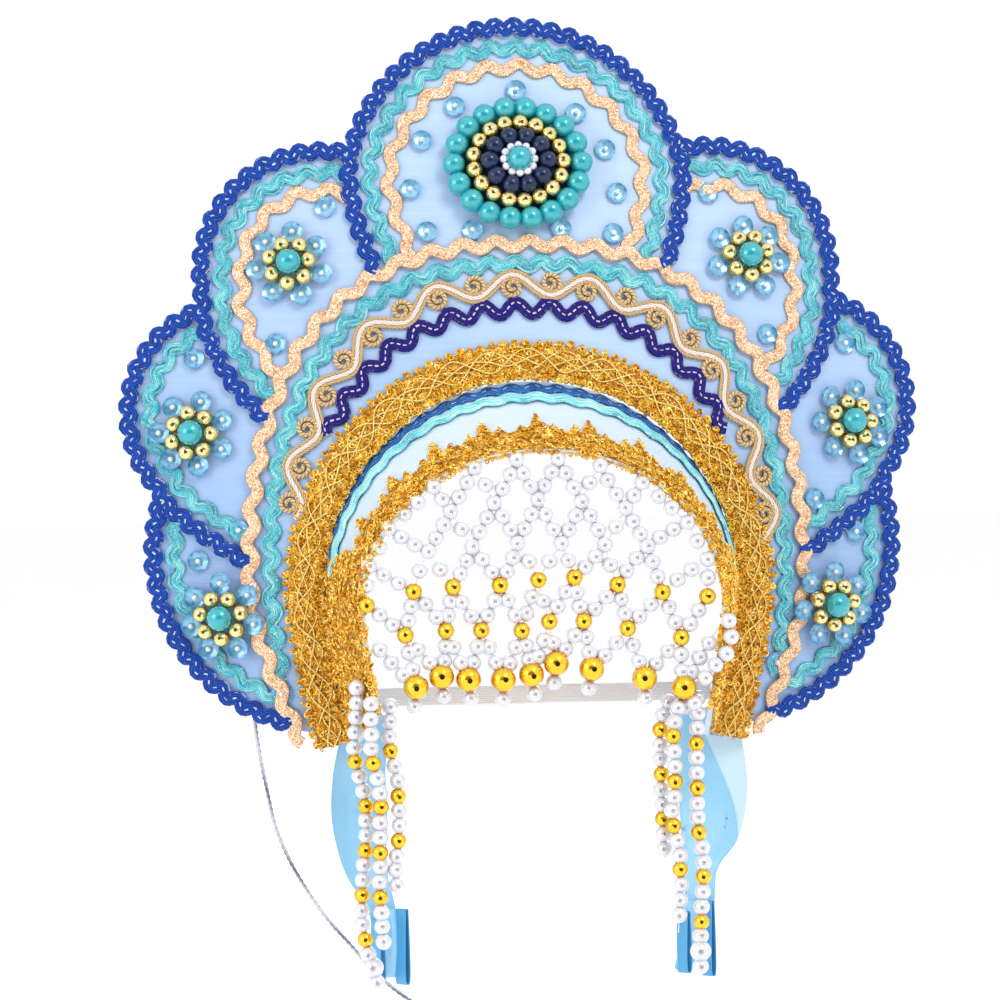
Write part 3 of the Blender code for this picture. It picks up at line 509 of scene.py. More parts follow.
@dataclass(frozen=True)
class CutGlass:
    """Tinted plastic sequin, on its own map: radial cuts that each get their own tone as painted reflection, a
    rim deepened as painted shade that leaves the middle bright, and painted light from above that makes it paler
    higher up.
    """

    name: str
    light: Colour
    deep: Colour
    cuts: int = 14

    def material(self) -> bpy.types.Material:
        """The sequin's material."""
        paint = Paint(self.name, coat_weight=1.0, coat_roughness=0.03, ior=1.5)
        around, out = paint.along_across()
        # painted reflection: each cut gets its own tone
        facet = paint.vector((around * self.cuts).floor() * 7.3, (out * 2.6).floor() * 3.1)
        ray = paint.noise(facet, 1.0, 0.0)
        grain = paint.noise(paint.place(), 700.0, 2.0)
        # painted light from above: sequins higher up are paler
        painted_top_light = paint.smooth(paint.height(), 0.12, 0.24) * 0.30
        # painted shade that deepens the rim and leaves the middle bright
        rim = paint.smooth(out, 0.55, 1.0) * 0.55
        shade = (rim + (ray - 0.5) * 1.5 + (grain - 0.5) * 0.8 + 0.38 - painted_top_light).held()
        paint.dress(Base_Color=paint.mix(shade, self.light, self.deep))
        paint.dress(Roughness=0.10 + ray * 0.14)
        paint.dress(Metallic=0.35 - shade * 0.2)
        paint.bump(ray + grain * 0.3, 0.00016)
        return paint.material


@dataclass(frozen=True)
class RibbonSatin:
    """Smooth ribbon satin, on its own map, with a paler single layer beside a fold where it has one, and painted
    shade along that fold.
    """

    name: str
    light: Colour
    deep: Colour
    pale: Optional[Colour] = None
    fold_start: float = 0.30
    fold_slope: float = 13.0

    def material(self) -> bpy.types.Material:
        """The ribbon's material."""
        paint = Paint(self.name, sheen_weight=0.15, sheen_roughness=0.4)
        along, across = paint.along_across()
        threads = paint.noise(paint.vector(along * 2600.0, across * 3.0), 1.0, 2.0, 0.6)
        clouds = paint.noise(paint.place((30, 30, 18)), 1.0, 3.0)
        edge = paint.smooth(abs(across - 0.5), 0.44, 0.5)
        shade = (threads * 0.4 + (clouds - 0.5) * 1.5 + 0.35).held()
        body = paint.mix(edge * 0.5, paint.mix(shade, self.deep, self.light), self.deep)
        if self.pale:
            beyond = across - self.fold_start - along * self.fold_slope
            body = paint.mix(paint.smooth(beyond, -0.012, 0.012) * 0.85, body, self.pale)
            # painted shade along the fold line
            crease_shade = 1.0 - paint.smooth(abs(beyond), 0.0, 0.03)
            body = paint.mix(crease_shade * 0.3, body, self.deep)
        paint.dress(Base_Color=body)
        paint.dress(Roughness=0.32 + (threads - 0.5) * 0.2)
        paint.bump(threads + clouds * 2.0, 0.00006)
        return paint.material


@dataclass(frozen=True)
class WovenElastic:
    """Ribbed elastic: fine lines along the strap and closer ones across it."""

    name: str
    light: Colour
    deep: Colour
    ribs: int = 9

    def material(self) -> bpy.types.Material:
        """The elastic's material, on the piece's own map."""
        paint = Paint(self.name, roughness=0.7)
        along, across = paint.along_across()
        rib = abs((across * (math.pi * self.ribs)).sine())
        picks = abs((along * 5200.0).sine())
        worn = paint.noise(paint.vector(along * 60.0, across * 3.0), 1.0, 2.0)
        shade = (rib * 0.6 + picks * 0.2 + (worn - 0.5) * 0.4 + 0.1).held()
        paint.dress(Base_Color=paint.mix(shade, self.deep, self.light))
        paint.bump(rib + picks * 0.4, 0.0001)
        return paint.material


class Cloth(Enum):
    """The headdress's cloths."""

    CREST = Satin("crest_satin", (0.50, 0.66, 0.90), (0.26, 0.43, 0.74), top_light=0.7)
    LINING = Satin("lining_satin", (0.48, 0.62, 0.84), (0.32, 0.47, 0.72), rough=0.5)
    # The brow band's satin: the crest's light-blue satin painted paler as painted light, where the band faces up
    # towards the lamps.
    BAND_LIT = Satin("band_satin", (0.72, 0.82, 0.90), (0.56, 0.70, 0.84), rough=0.45, top_light=0.5)
    TIE = RibbonSatin("tie_satin", (0.34, 0.66, 0.88), (0.20, 0.50, 0.78))
    TIE_FOLDED = RibbonSatin("tie_satin_folded", (0.36, 0.67, 0.88), (0.22, 0.53, 0.79), (0.62, 0.80, 0.90))
    # A darker copy of the tie satin, as painted shade inside the folds.
    TIE_PAINTED_SHADE = RibbonSatin("tie_satin_painted_shade", (0.10, 0.42, 0.72), (0.03, 0.24, 0.52))


class Braid(Enum):
    """The headdress's braids."""

    NAVY = StitchedYarn(
        "navy_braid", (0.002, 0.001, 0.04), (0.024, 0.010, 0.34), stitch=(0.78, 0.74, 0.76),
        stitch_pitch=0.0026, stitch_share=0.58, edge_glint=0.2,
    )
    LOBE_BLUE = StitchedYarn(
        "royal_blue_braid", (0.0, 0.012, 0.13), (0.011, 0.105, 0.64), stitch=(0.62, 0.68, 0.78),
        stitch_pitch=0.0040, stitch_share=0.4, edge_glint=0.55,
    )
    BAND_BLUE = StitchedYarn(
        "band_blue_braid", (0.004, 0.03, 0.20), (0.05, 0.26, 0.74), stitch=(0.38, 0.64, 0.90),
        stitch_pitch=0.0048, stitch_share=0.45, threads=4,
    )
    TURQUOISE = StrandedRibbon(
        "turquoise_braid",
        (
            (0.0, (0.0, 0.11, 0.24)), (0.3, (0.004, 0.36, 0.52)),
            (0.6, (0.05, 0.60, 0.74)), (1.0, (0.42, 0.86, 0.93)),
        ),
        (0.80, 0.72, 0.36),
    )
    BAND_TURQUOISE = StrandedRibbon(
        "band_turquoise_braid",
        (
            (0.0, (0.02, 0.33, 0.44)), (0.3, (0.16, 0.66, 0.74)),
            (0.6, (0.34, 0.80, 0.85)), (1.0, (0.60, 0.93, 0.93)),
        ),
        (0.70, 0.88, 0.84), strands=3, metal_share=0.12,
    )
    PEACH = GlitterBraid(
        "peach_braid",
        (
            (0.0, (0.38, 0.15, 0.06)), (0.28, (0.68, 0.38, 0.20)),
            (0.6, (0.88, 0.60, 0.38)), (1.0, (1.0, 0.86, 0.66)),
        ),
        (0.50, 0.26, 0.10),
    )
    # The gold ramps run from painted shade in the hollows to painted highlight on the tips.
    GIMP = MetalThread(
        "gold_braid",
        (
            (0.0, (0.10, 0.028, 0.002)), (0.35, (0.42, 0.16, 0.008)),
            (0.7, (0.85, 0.45, 0.03)), (1.0, (1.0, 0.80, 0.22)),
        ),
        scale=900.0,
    )
    GIMP_CURL = MetalThread(
        "gold_curled_thread",
        (
            (0.0, (0.26, 0.08, 0.003)), (0.28, (0.72, 0.32, 0.012)),
            (0.58, (1.0, 0.62, 0.06)), (1.0, (1.0, 0.90, 0.38)),
        ),
        scale=620.0, relief=0.0001, metallic=0.6, rough=0.32,
    )
    GIMP_CORD = MetalThread(
        "gold_raised_cord",
        ((0.0, (0.62, 0.36, 0.05)), (0.4, (0.95, 0.68, 0.16)), (1.0, (1.0, 0.88, 0.45))),
        scale=2600.0, relief=0.0002, metallic=0.7, rough=0.3,
    )
    SCROLL = TwistedCord("scroll_cord", (0.24, 0.12, 0.035), (0.82, 0.58, 0.28), pitch=0.0016)
    SCROLL_HEART = TwistedCord(
        "scroll_cord_heart", (0.62, 0.50, 0.44), (0.92, 0.84, 0.80), pitch=0.0035, metallic=0.0, rough=0.28
    )
    SILVER = TwistedCord("silver_cord", (0.03, 0.035, 0.11), (0.84, 0.86, 0.92), 0.0045, 1, 0.2)
    ELASTIC = WovenElastic("elastic_weave", (0.84, 0.80, 0.78), (0.62, 0.58, 0.56))


class Bead(Enum):
    """The headdress's beads."""

    # Each hole colour here, and each colour for the band round a bead's middle, is painted shade.
    WHITE = BeadLustre(
        "white_pearl", (0.84, 0.84, 0.87), (0.66, 0.66, 0.71), 0.2, 0.25, 0.5, hole=(0.54, 0.53, 0.57),
        hole_size=0.11, waist_shade=(0.70, 0.70, 0.75),
    )
    TEAL = BeadLustre("teal_pearl", (0.03, 0.50, 0.56), (0.01, 0.33, 0.41), 0.26, 0.25, 1.0)
    NAVY = BeadLustre("navy_pearl", (0.004, 0.024, 0.10), (0.001, 0.008, 0.04), 0.3, 0.25, 0.22)
    PALE_GOLD = BeadLustre(
        "pale_gold_bead", (0.90, 0.80, 0.40), (0.80, 0.64, 0.24), 0.15, 0.85, 0.4, hole=(0.10, 0.05, 0.01),
        waist_shade=(0.55, 0.38, 0.08),
    )
    GOLD = BeadLustre(
        "gold_bead", (1.0, 0.68, 0.03), (0.95, 0.52, 0.015), 0.15, 0.8, 0.4, hole=(0.07, 0.025, 0.002),
        hole_size=0.085, waist_shade=(0.62, 0.22, 0.003),
    )
    SEED = BeadLustre("clear_seed", (0.86, 0.88, 0.92), (0.66, 0.70, 0.78), 0.08, 0.2, 1.0)
    SEQUIN = CutGlass("blue_sequin", (0.30, 0.64, 0.86), (0.01, 0.19, 0.44))
    FELT = BeadLustre("boss_felt", (0.02, 0.09, 0.17), (0.008, 0.03, 0.07), 0.8, 0.0, 0.0)


_made: dict[str, bpy.types.Material] = {}


def material_of(finish: Enum) -> bpy.types.Material:
    """The finish's material, made once.

    Args:
        finish: A cloth, braid or bead.

    Returns:
        Its material.
    """
    name = finish.value.name
    if name not in _made:
        _made[name] = finish.value.material()
    return _made[name]


# Plane curves of the front view, as lists of Vector((x, z))

Curve = list[Vector]


def mirrored(points: Curve) -> Curve:
    """The same curve on the other side."""
    return [Vector((-point.x, point.y)) for point in points]


def lengths_along(points: Curve) -> list[float]:
    """Distance along the curve at each point."""
    total = [0.0]
    for a, b in zip(points, points[1:]):
        total.append(total[-1] + (b - a).length)
    return total


def resampled(points: Curve, spacing: float) -> Curve:
    """The curve with points about this far apart.

    Args:
        points: Points in the plane or in space.
        spacing: Distance between the new points.

    Returns:
        The new points, both ends kept.
    """
    along = lengths_along(points)
    steps = max(2, round(along[-1] / spacing))
    result = []
    index = 0
    for step in range(steps + 1):
        target = along[-1] * step / steps
        while index < len(points) - 2 and along[index + 1] < target:
            index += 1
        stretch = along[index + 1] - along[index]
        share = (target - along[index]) / stretch if stretch else 0
        result.append(points[index].lerp(points[index + 1], share))
    return result


def distance_to(point: Vector, curve: Curve) -> float:
    """Shortest distance from a point to a curve."""
    nearest = math.inf
    for a, b in zip(curve, curve[1:]):
        side = b - a
        share = max(0.0, min(1.0, (point - a).dot(side) / side.length_squared)) if side.length else 0
        nearest = min(nearest, (point - a - side * share).length)
    return nearest


def trimmed(points: Curve, curve: Curve, distance: float) -> Curve:
    """The stretch about the middle of a curve that keeps this far from another curve."""
    clear = [distance_to(point, curve) >= distance for point in points]
    first = last = len(points) // 2
    while first > 0 and clear[first - 1]:
        first -= 1
    while last < len(points) - 1 and clear[last + 1]:
        last += 1
    return points[first:last + 1]


def rounded(points: Curve, passes: int) -> Curve:
    """The curve with its corners eased, its ends kept."""
    for _ in range(passes):
        eased = [(a + 2 * b + c) / 4 for a, b, c in zip(points, points[1:], points[2:])]
        points = [points[0], *eased, points[-1]]
    return points


def heading_at(points: Sequence[Vector], index: int) -> Vector:
    """Unit vector along a curve at one of its points."""
    return (points[min(index + 1, len(points) - 1)] - points[max(index - 1, 0)]).normalized()


def side_step(points: Curve, index: int) -> Vector:
    """Unit vector across a plane curve at one of its points."""
    along = heading_at(points, index)
    return Vector((-along.y, along.x))


def nearest(along: Sequence[float], distance: float) -> int:
    """Index of the point that lies nearest to this distance along a curve."""
    return min(range(len(along)), key=lambda place: abs(along[place] - distance))


def carried(points: Sequence[Vector]) -> list[tuple[Vector, Vector, Vector]]:
    """Each point of a curve in space with two unit vectors across it, turned as little as can be."""
    made = []
    lean = None
    for index, point in enumerate(points):
        along = heading_at(points, index)
        lean = (lean - along * lean.dot(along)).normalized() if lean else along.orthogonal().normalized()
        made.append((point, lean, along.cross(lean)))
    return made


def even_shares(count: int) -> list[float]:
    """Even steps from 0 to 1."""
    return [step / count for step in range(count + 1)]


def pointing(angle: float) -> Vector:
    """Unit vector of the front view at this angle."""
    return Vector((math.cos(angle), math.sin(angle)))


def smooth_route(points: Sequence[Vector], spacing: float) -> list[Vector]:
    """Points this far apart on a smooth curve through a route's own points.

    Args:
        points: The route.
        spacing: Distance between the new points.

    Returns:
        The new points.
    """
    ends = [2 * points[0] - points[1], *points, 2 * points[-1] - points[-2]]
    fine = []
    for before, start, end, after in zip(ends, ends[1:], ends[2:], ends[3:]):
        for step in range(16):
            t = step / 16
            fine.append(0.5 * (
                2 * start + (end - before) * t + (2 * before - 5 * start + 4 * end - after) * t**2
                + (3 * start - before - 3 * end + after) * t**3
            ))
    fine.append(points[-1])
    return resampled(fine, spacing)


@dataclass(frozen=True)
class Lobe:
    """One lobe of the crest: its circle and, on a side lobe, its flower."""

    angle: float
    past_opening: float
    radius: float
    flower_angle: float = 0.0
    flower_past_opening: float = 0.0


@dataclass(frozen=True)
class Border:
    """The line between two lobes: where it meets the arch, and its bow towards the lower lobe."""

    end_angle: float
    bow: float


@dataclass(frozen=True)
class CrestShape:
    """The crest's surface, a shallow cone about the arch's centre, and the lines on it."""

    centre_z: float = 0.060
    opening: float = 0.084
    foot_draw: float = 0.012
    leg_curve: float = 1.4
    lean: float = math.radians(18)
    board: float = 0.003
    foot_width: float = 0.0125
    top: Lobe = Lobe(math.radians(90), 0.0720, 0.0710)
    sides: tuple[Lobe, ...] = (
        Lobe(math.radians(58.4), 0.0640, 0.0520, math.radians(54.8), 0.0755),
        Lobe(math.radians(32.3), 0.0497, 0.0465, math.radians(25.8), 0.0625),
        Lobe(math.radians(11.5), -0.0034, 0.0720, math.radians(-4.1), 0.0380),
    )
    borders: tuple[Border, ...] = (
        Border(math.radians(65.4), 0.0030),
        Border(math.radians(33.7), 0.0045),
        Border(math.radians(6.3), 0.0015),
    )

    def centre(self) -> Vector:
        """The arch's centre in the front view."""
        return Vector((0, self.centre_z))

    def angle_of(self, point: Vector) -> float:
        """Direction of a point from the arch's centre."""
        return math.atan2(point.y - self.centre_z, point.x)

    def polar(self, angle: float, past_opening: float) -> Vector:
        """The point in this direction, this far past the opening's edge."""
        reach = self.opening + past_opening
        return Vector((math.cos(angle) * reach, self.centre_z + math.sin(angle) * reach))

    def normal(self, point: Vector) -> Vector:
        """Unit normal of the crest's front."""
        angle = self.angle_of(point)
        lean = math.sin(self.lean)
        return Vector((lean * math.cos(angle), -math.cos(self.lean), lean * math.sin(angle)))

    def on(self, point: Vector, lift: float = 0.0) -> Vector:
        """The crest's front at this place of the front view, raised along its normal."""
        reach = (point - self.centre()).length - self.opening
        return Vector((point.x, math.tan(self.lean) * reach, point.y)) + self.normal(point) * lift

    def seat(self, point: Vector, lift: float) -> Matrix:
        """A place on the crest's front, raised along its normal, which is the place's Z axis."""
        return Matrix.Translation(self.on(point, lift)) @ self.turn(point).to_4x4()

    def turn(self, point: Vector) -> Matrix:
        """Rotation whose Z axis is the crest's normal at a point and whose Y axis runs outwards."""
        angle = self.angle_of(point)
        slope = math.cos(self.lean)
        outwards = Vector((math.cos(angle) * slope, math.sin(self.lean), math.sin(angle) * slope))
        normal = self.normal(point)
        return Matrix((outwards.cross(normal), outwards, normal)).transposed()

    def arch(self, half: float, top_z: float, spring_z: float, foot: Vector, square: float = 2.0) -> Curve:
        """An arch from its right foot over the top to its left foot.

        Args:
            half: Half of its width at the spring line.
            top_z: Height of its top.
            spring_z: Height of the spring line.
            foot: Its right foot.
            square: 2 for an ellipse, more for a squarer arch.

        Returns:
            The points.
        """
        legs, quarter = 30, 90
        right = []
        for step in range(legs):
            share = 1 - step / legs
            x = half - (half - foot.x) * share**self.leg_curve
            right.append(Vector((x, spring_z - (spring_z - foot.y) * share)))
        for step in range(quarter + 1):
            angle = math.pi / 2 * step / quarter
            across = half * abs(math.cos(angle)) ** (2 / square) if step < quarter else 0
            right.append(Vector((across, spring_z + (top_z - spring_z) * math.sin(angle) ** (2 / square))))
        return right + mirrored(right[-2::-1])

    def opening_curve(self) -> Curve:
        """Edge of the head opening."""
        foot = Vector((self.opening - self.foot_draw, 0.0))
        return self.arch(self.opening, self.centre_z + self.opening, self.centre_z, foot)

    def braid_curve(self, side: float, top: float, draw: float, square: float) -> Curve:
        """Middle line of a braid along the arch, this far outside the opening at its side and top."""
        half = self.opening + side
        top_z = self.centre_z + self.opening + top
        return self.arch(half, top_z, self.centre_z, Vector((half - draw, 0.0)), square)

    def ray_hit(self, curve: Curve, angle: float) -> Vector:
        """Where a ray from the arch's centre at this angle meets a curve."""
        across = Vector((-math.sin(angle), math.cos(angle)))
        along = pointing(angle)
        for a, b in zip(curve, curve[1:]):
            side_a, side_b = (a - self.centre()).dot(across), (b - self.centre()).dot(across)
            if side_a * side_b <= 0 and side_a != side_b:
                hit = a.lerp(b, side_a / (side_a - side_b))
                if (hit - self.centre()).dot(along) > 0:
                    return hit
        raise ValueError("the ray misses the curve")

    def lobe_centre(self, lobe: Lobe) -> Vector:
        """Centre of a lobe on the right side."""
        return self.polar(lobe.angle, lobe.past_opening)

    def notches(self) -> Curve:
        """The notches between neighbouring lobes of the right side, from the top down."""
        found = []
        lobes = (self.top, *self.sides)
        for upper, lower in zip(lobes, lobes[1:]):
            start = self.lobe_centre(upper)
            side = self.lobe_centre(lower) - start
            along = (side.length_squared + upper.radius**2 - lower.radius**2) / (2 * side.length)
            unit = side.normalized()
            across = unit.orthogonal() * math.sqrt(upper.radius**2 - along**2)
            crossings = [start + unit * along + across, start + unit * along - across]
            found.append(max(crossings, key=lambda point: (point - self.centre()).length))
        return found

    def foot(self) -> Vector:
        """Outer corner of the right foot."""
        return Vector((self.opening - self.foot_draw + self.foot_width, 0.0))

    def edge(self, spacing: float) -> Curve:
        """Outline of the right side, from the top down to its foot."""
        lowest = self.sides[-1]
        centre = self.lobe_centre(lowest)
        across = self.foot().x - centre.x
        last = Vector((self.foot().x, centre.y - math.sqrt(lowest.radius**2 - across**2)))
        top = self.lobe_centre(self.top) + Vector((0, self.top.radius))
        stops = [top, *self.notches(), last]
        edge = [top]
        for lobe, start, end in zip((self.top, *self.sides), stops, stops[1:]):
            middle = self.lobe_centre(lobe)
            first = math.atan2(start.y - middle.y, start.x - middle.x)
            final = math.atan2(end.y - middle.y, end.x - middle.x)
            final -= math.tau if final > first else 0.0
            steps = max(2, math.ceil((first - final) * lobe.radius / spacing))
            for step in range(1, steps + 1):
                angle = first + (final - first) * step / steps
                edge.append(middle + pointing(angle) * lobe.radius)
        return edge


SHAPE = CrestShape()
PLACES = ("upper", "middle", "lower")


# Meshes


def swept(sections: Sequence[Sequence[Vector]], shares: Sequence[float]) -> bmesh.types.BMesh:
    """A closed skin over ring sections, each a loop of points, joined in order.

    Args:
        sections: The rings, each with the same count of points.
        shares: The map's second coordinate at each point of a ring, and at the first point again.

    Returns:
        A bmesh whose map holds metres along and the share across.
    """
    around = len(sections[0])
    middles = [sum(ring, Vector()) / around for ring in sections]
    along = lengths_along(middles)
    bm = bmesh.new()
    layer = bm.loops.layers.uv.new("UVMap")
    bmesh.ops.create_grid(bm, x_segments=around, y_segments=len(sections) - 1, size=1.0)
    bm.verts.ensure_lookup_table()
    for vertex in bm.verts:
        row, column = divmod(vertex.index, around + 1)
        vertex.co = sections[row][column % around]
    for face in bm.faces:
        for loop in face.loops:
            row, column = divmod(loop.vert.index, around + 1)
            loop[layer].uv = (along[row], shares[column])
    bmesh.ops.remove_doubles(bm, verts=bm.verts, dist=1e-7)
    rims = [edge for edge in bm.edges if edge.is_boundary]
    filled = bmesh.ops.holes_fill(bm, edges=rims, sides=around)["faces"]
    for face in filled:
        for loop in face.loops:
            loop[layer].uv = (along[0], 0.5)
    bmesh.ops.recalc_face_normals(bm, faces=bm.faces)
    return bm


def joined(parts: Iterable[bmesh.types.BMesh]) -> bmesh.types.BMesh:
    """Several meshes as one, and the parts freed."""
    whole = bmesh.new()
    for part in parts:
        mesh = bpy.data.meshes.new("part")
        part.to_mesh(mesh)
        part.free()
        whole.from_mesh(mesh)
        bpy.data.meshes.remove(mesh)
    return whole


def numbered(bm: bmesh.types.BMesh, number: int) -> bmesh.types.BMesh:
    """The mesh, all its faces with this material number."""
    for face in bm.faces:
        face.material_index = number
    return bm


def piece_from(
    name: str, bm: bmesh.types.BMesh, finishes: Sequence[Enum], stands_for: Sequence[str] = (),
    sharp: float = 40.0,
) -> bpy.types.Object:
    """Adds a piece that rides on the headdress.

    Args:
        name: The piece's name.
        bm: Its mesh, which is freed.
        finishes: Its materials in the order of the faces' material numbers.
        stands_for: The CAD nodes that it replaces.
        sharp: Angle in degrees past which an edge stays sharp.

    Returns:
        The piece.
    """
    mesh = bpy.data.meshes.new(name)
    bm.to_mesh(mesh)
    bm.free()
    mesh.shade_smooth()
    mesh.set_sharp_from_angle(angle=math.radians(sharp))
    piece = bpy.data.objects.new(name, mesh)
    for finish in finishes:
        mesh.materials.append(material_of(finish))
    bpy.context.scene.collection.objects.link(piece)
    if stands_for:
        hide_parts(*stands_for)
    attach(piece, BODY)
    LOG.info("%s: %d faces", name, len(mesh.polygons))
    return piece


def add_sphere(bm: bmesh.types.BMesh, place: Matrix, diameter: float, sides: int, rings: int) -> None:
    """Adds a bead, its hole along the place's Z axis."""
    bm.loops.layers.uv.verify()
    bmesh.ops.create_uvsphere(
        bm, u_segments=sides, v_segments=rings, radius=diameter / 2, matrix=place, calc_uvs=True
    )


def add_bead(bm: bmesh.types.BMesh, place: Matrix, diameter: float, sides: int = 14, rings: int = 9) -> None:
    """Adds a bead, its hole along the place's Z axis and a dimple at each end of it."""
    bm.loops.layers.uv.verify()
    made = bmesh.ops.create_uvsphere(
        bm, u_segments=sides, v_segments=rings, radius=diameter / 2, calc_uvs=True
    )["verts"]
    dimple_from = diameter / 2 * math.cos(math.pi / rings * 0.5)
    for vertex in made:
        if abs(vertex.co.z) > dimple_from:
            vertex.co.z *= DIMPLE
    bmesh.ops.transform(bm, matrix=place, verts=made)


def thread_ring(size: float, thread: float, around: int = 8, sides: int = 4) -> bpy.types.Mesh:
    """A closed ring of thread about the Z axis.

    Args:
        size: Radius of its middle line.
        thread: Radius of the thread.
        around: Steps round the ring.
        sides: Sides of the thread.

    Returns:
        The ring, as a mesh to be copied.
    """
    bm = bmesh.new()
    stand = Matrix.Translation((size, 0, 0)) @ Matrix.Rotation(math.pi / 2, 4, "X")
    bmesh.ops.create_circle(bm, cap_ends=False, segments=sides, radius=thread, matrix=stand)
    bmesh.ops.spin(
        bm, geom=bm.verts[:] + bm.edges[:], cent=(0, 0, 0), axis=(0, 0, 1), angle=math.tau, steps=around,
        use_merge=True,
    )
    bmesh.ops.recalc_face_normals(bm, faces=bm.faces)
    mesh = bpy.data.meshes.new("thread_ring")
    bm.to_mesh(mesh)
    bm.free()
    return mesh


def scattered(shape: bpy.types.Mesh, places: Iterable[Matrix]) -> bmesh.types.BMesh:
    """Copies of a shape at several places, as one mesh.

    Args:
        shape: The shape, which is removed.
        places: Where each copy lies.

    Returns:
        The mesh of all copies.
    """
    whole = bmesh.new()
    for place in places:
        copy = shape.copy()
        copy.transform(place)
        whole.from_mesh(copy)
        bpy.data.meshes.remove(copy)
    bpy.data.meshes.remove(shape)
    return whole


def nodded(dice: random.Random, reach: float) -> Matrix:
    """A random small tilt about the Y axis, then about the X axis."""
    about_x = Matrix.Rotation(dice.uniform(-reach, reach), 4, "X")
    return about_x @ Matrix.Rotation(dice.uniform(-reach, reach), 4, "Y")


def tossed(dice: random.Random, lean: float) -> Matrix:
    """A random small turn, size and stretch for a curl of thread."""
    spin = Matrix.Rotation(dice.uniform(0, math.tau), 4, "Z")
    turn = spin @ Matrix.Rotation(dice.uniform(-lean, lean), 4, "X")
    stretch = Matrix.Diagonal((dice.uniform(0.7, 1.35), dice.uniform(0.6, 1.1), dice.uniform(0.8, 1.3), 1))
    return turn @ stretch


def flat_ring(width: float, thick: float, points: int) -> tuple[list[tuple[float, float]], list[float]]:
    """A flattened oval section that sits on height 0.

    Args:
        width: Its width.
        thick: Its height.
        points: Its count of points.

    Returns:
        The points as (sideways, height), and the share across at each, with the first again at the end.
    """
    ring, shares = [], []
    for step in range(points + 1):
        angle = math.tau * step / points
        x, y = math.cos(angle), math.sin(angle)
        bulge = math.copysign(abs(y) ** 0.8, y)
        if step < points:
            ring.append((x * width / 2, thick * (0.5 + bulge / 2)))
        shares.append(0.5 + x / 2)
    return ring, shares


def laid_braid(
    path: Curve, width: float, thick: float, lift: float, points: int,
    relief: Optional[Callable[[float, float], float]] = None,
) -> bmesh.types.BMesh:
    """A braid laid along a plane path on the crest.

    Args:
        path: Its middle line, already with its waves.
        width: Its width.
        thick: Its height.
        lift: Height of its underside over the crest.
        points: Points in its section.
        relief: Added height by the sideways share and the distance along.

    Returns:
        The braid's mesh.
    """
    ring, shares = flat_ring(width, thick, points)
    along = lengths_along(path)
    sections = []
    for index, point in enumerate(path):
        across = side_step(path, index)
        row = []
        for side, height in ring:
            extra = relief(side / width, along[index]) if relief and height > thick / 2 else 0.0
            row.append(SHAPE.on(point + across * side, lift + height + extra))
        sections.append(row)
    return swept(sections, shares)


def tube_between(
    points: Sequence[Vector], radius: Union[float, Callable[[float], float]], sides: int = 8
) -> bmesh.types.BMesh:
    """A round tube along points in space, its ends closed.

    Args:
        points: Its middle line.
        radius: Its radius, or the radius by the share along.
        sides: Points round it.

    Returns:
        The tube's mesh.
    """
    sections = []
    for index, (point, lean, other) in enumerate(carried(points)):
        size = radius(index / (len(points) - 1)) if callable(radius) else radius
        sections.append([
            point + (lean * math.cos(turn) + other * math.sin(turn)) * size
            for turn in (math.tau * step / sides for step in range(sides))
        ])
    return swept(sections, even_shares(sides))


def waved(path: Curve, wave: float, period: float, sharpness: float = 1.0, phase: float = 0.0) -> Curve:
    """A path that swings to each side of its middle line.

    Args:
        path: The middle line.
        wave: How far it swings.
        period: Length of a whole wave.
        sharpness: 1 for a sine, less for a more pointed zigzag.
        phase: Share of a wave at the start.

    Returns:
        The waved path.
    """
    along = lengths_along(path)
    waves = max(1, round(along[-1] / period))
    result = []
    for index, point in enumerate(path):
        swing = math.sin(math.tau * (along[index] / along[-1] * waves + phase))
        swing = math.copysign(abs(swing) ** sharpness, swing)
        result.append(point + side_step(path, index) * wave * swing)
    return result


# Stage and camera


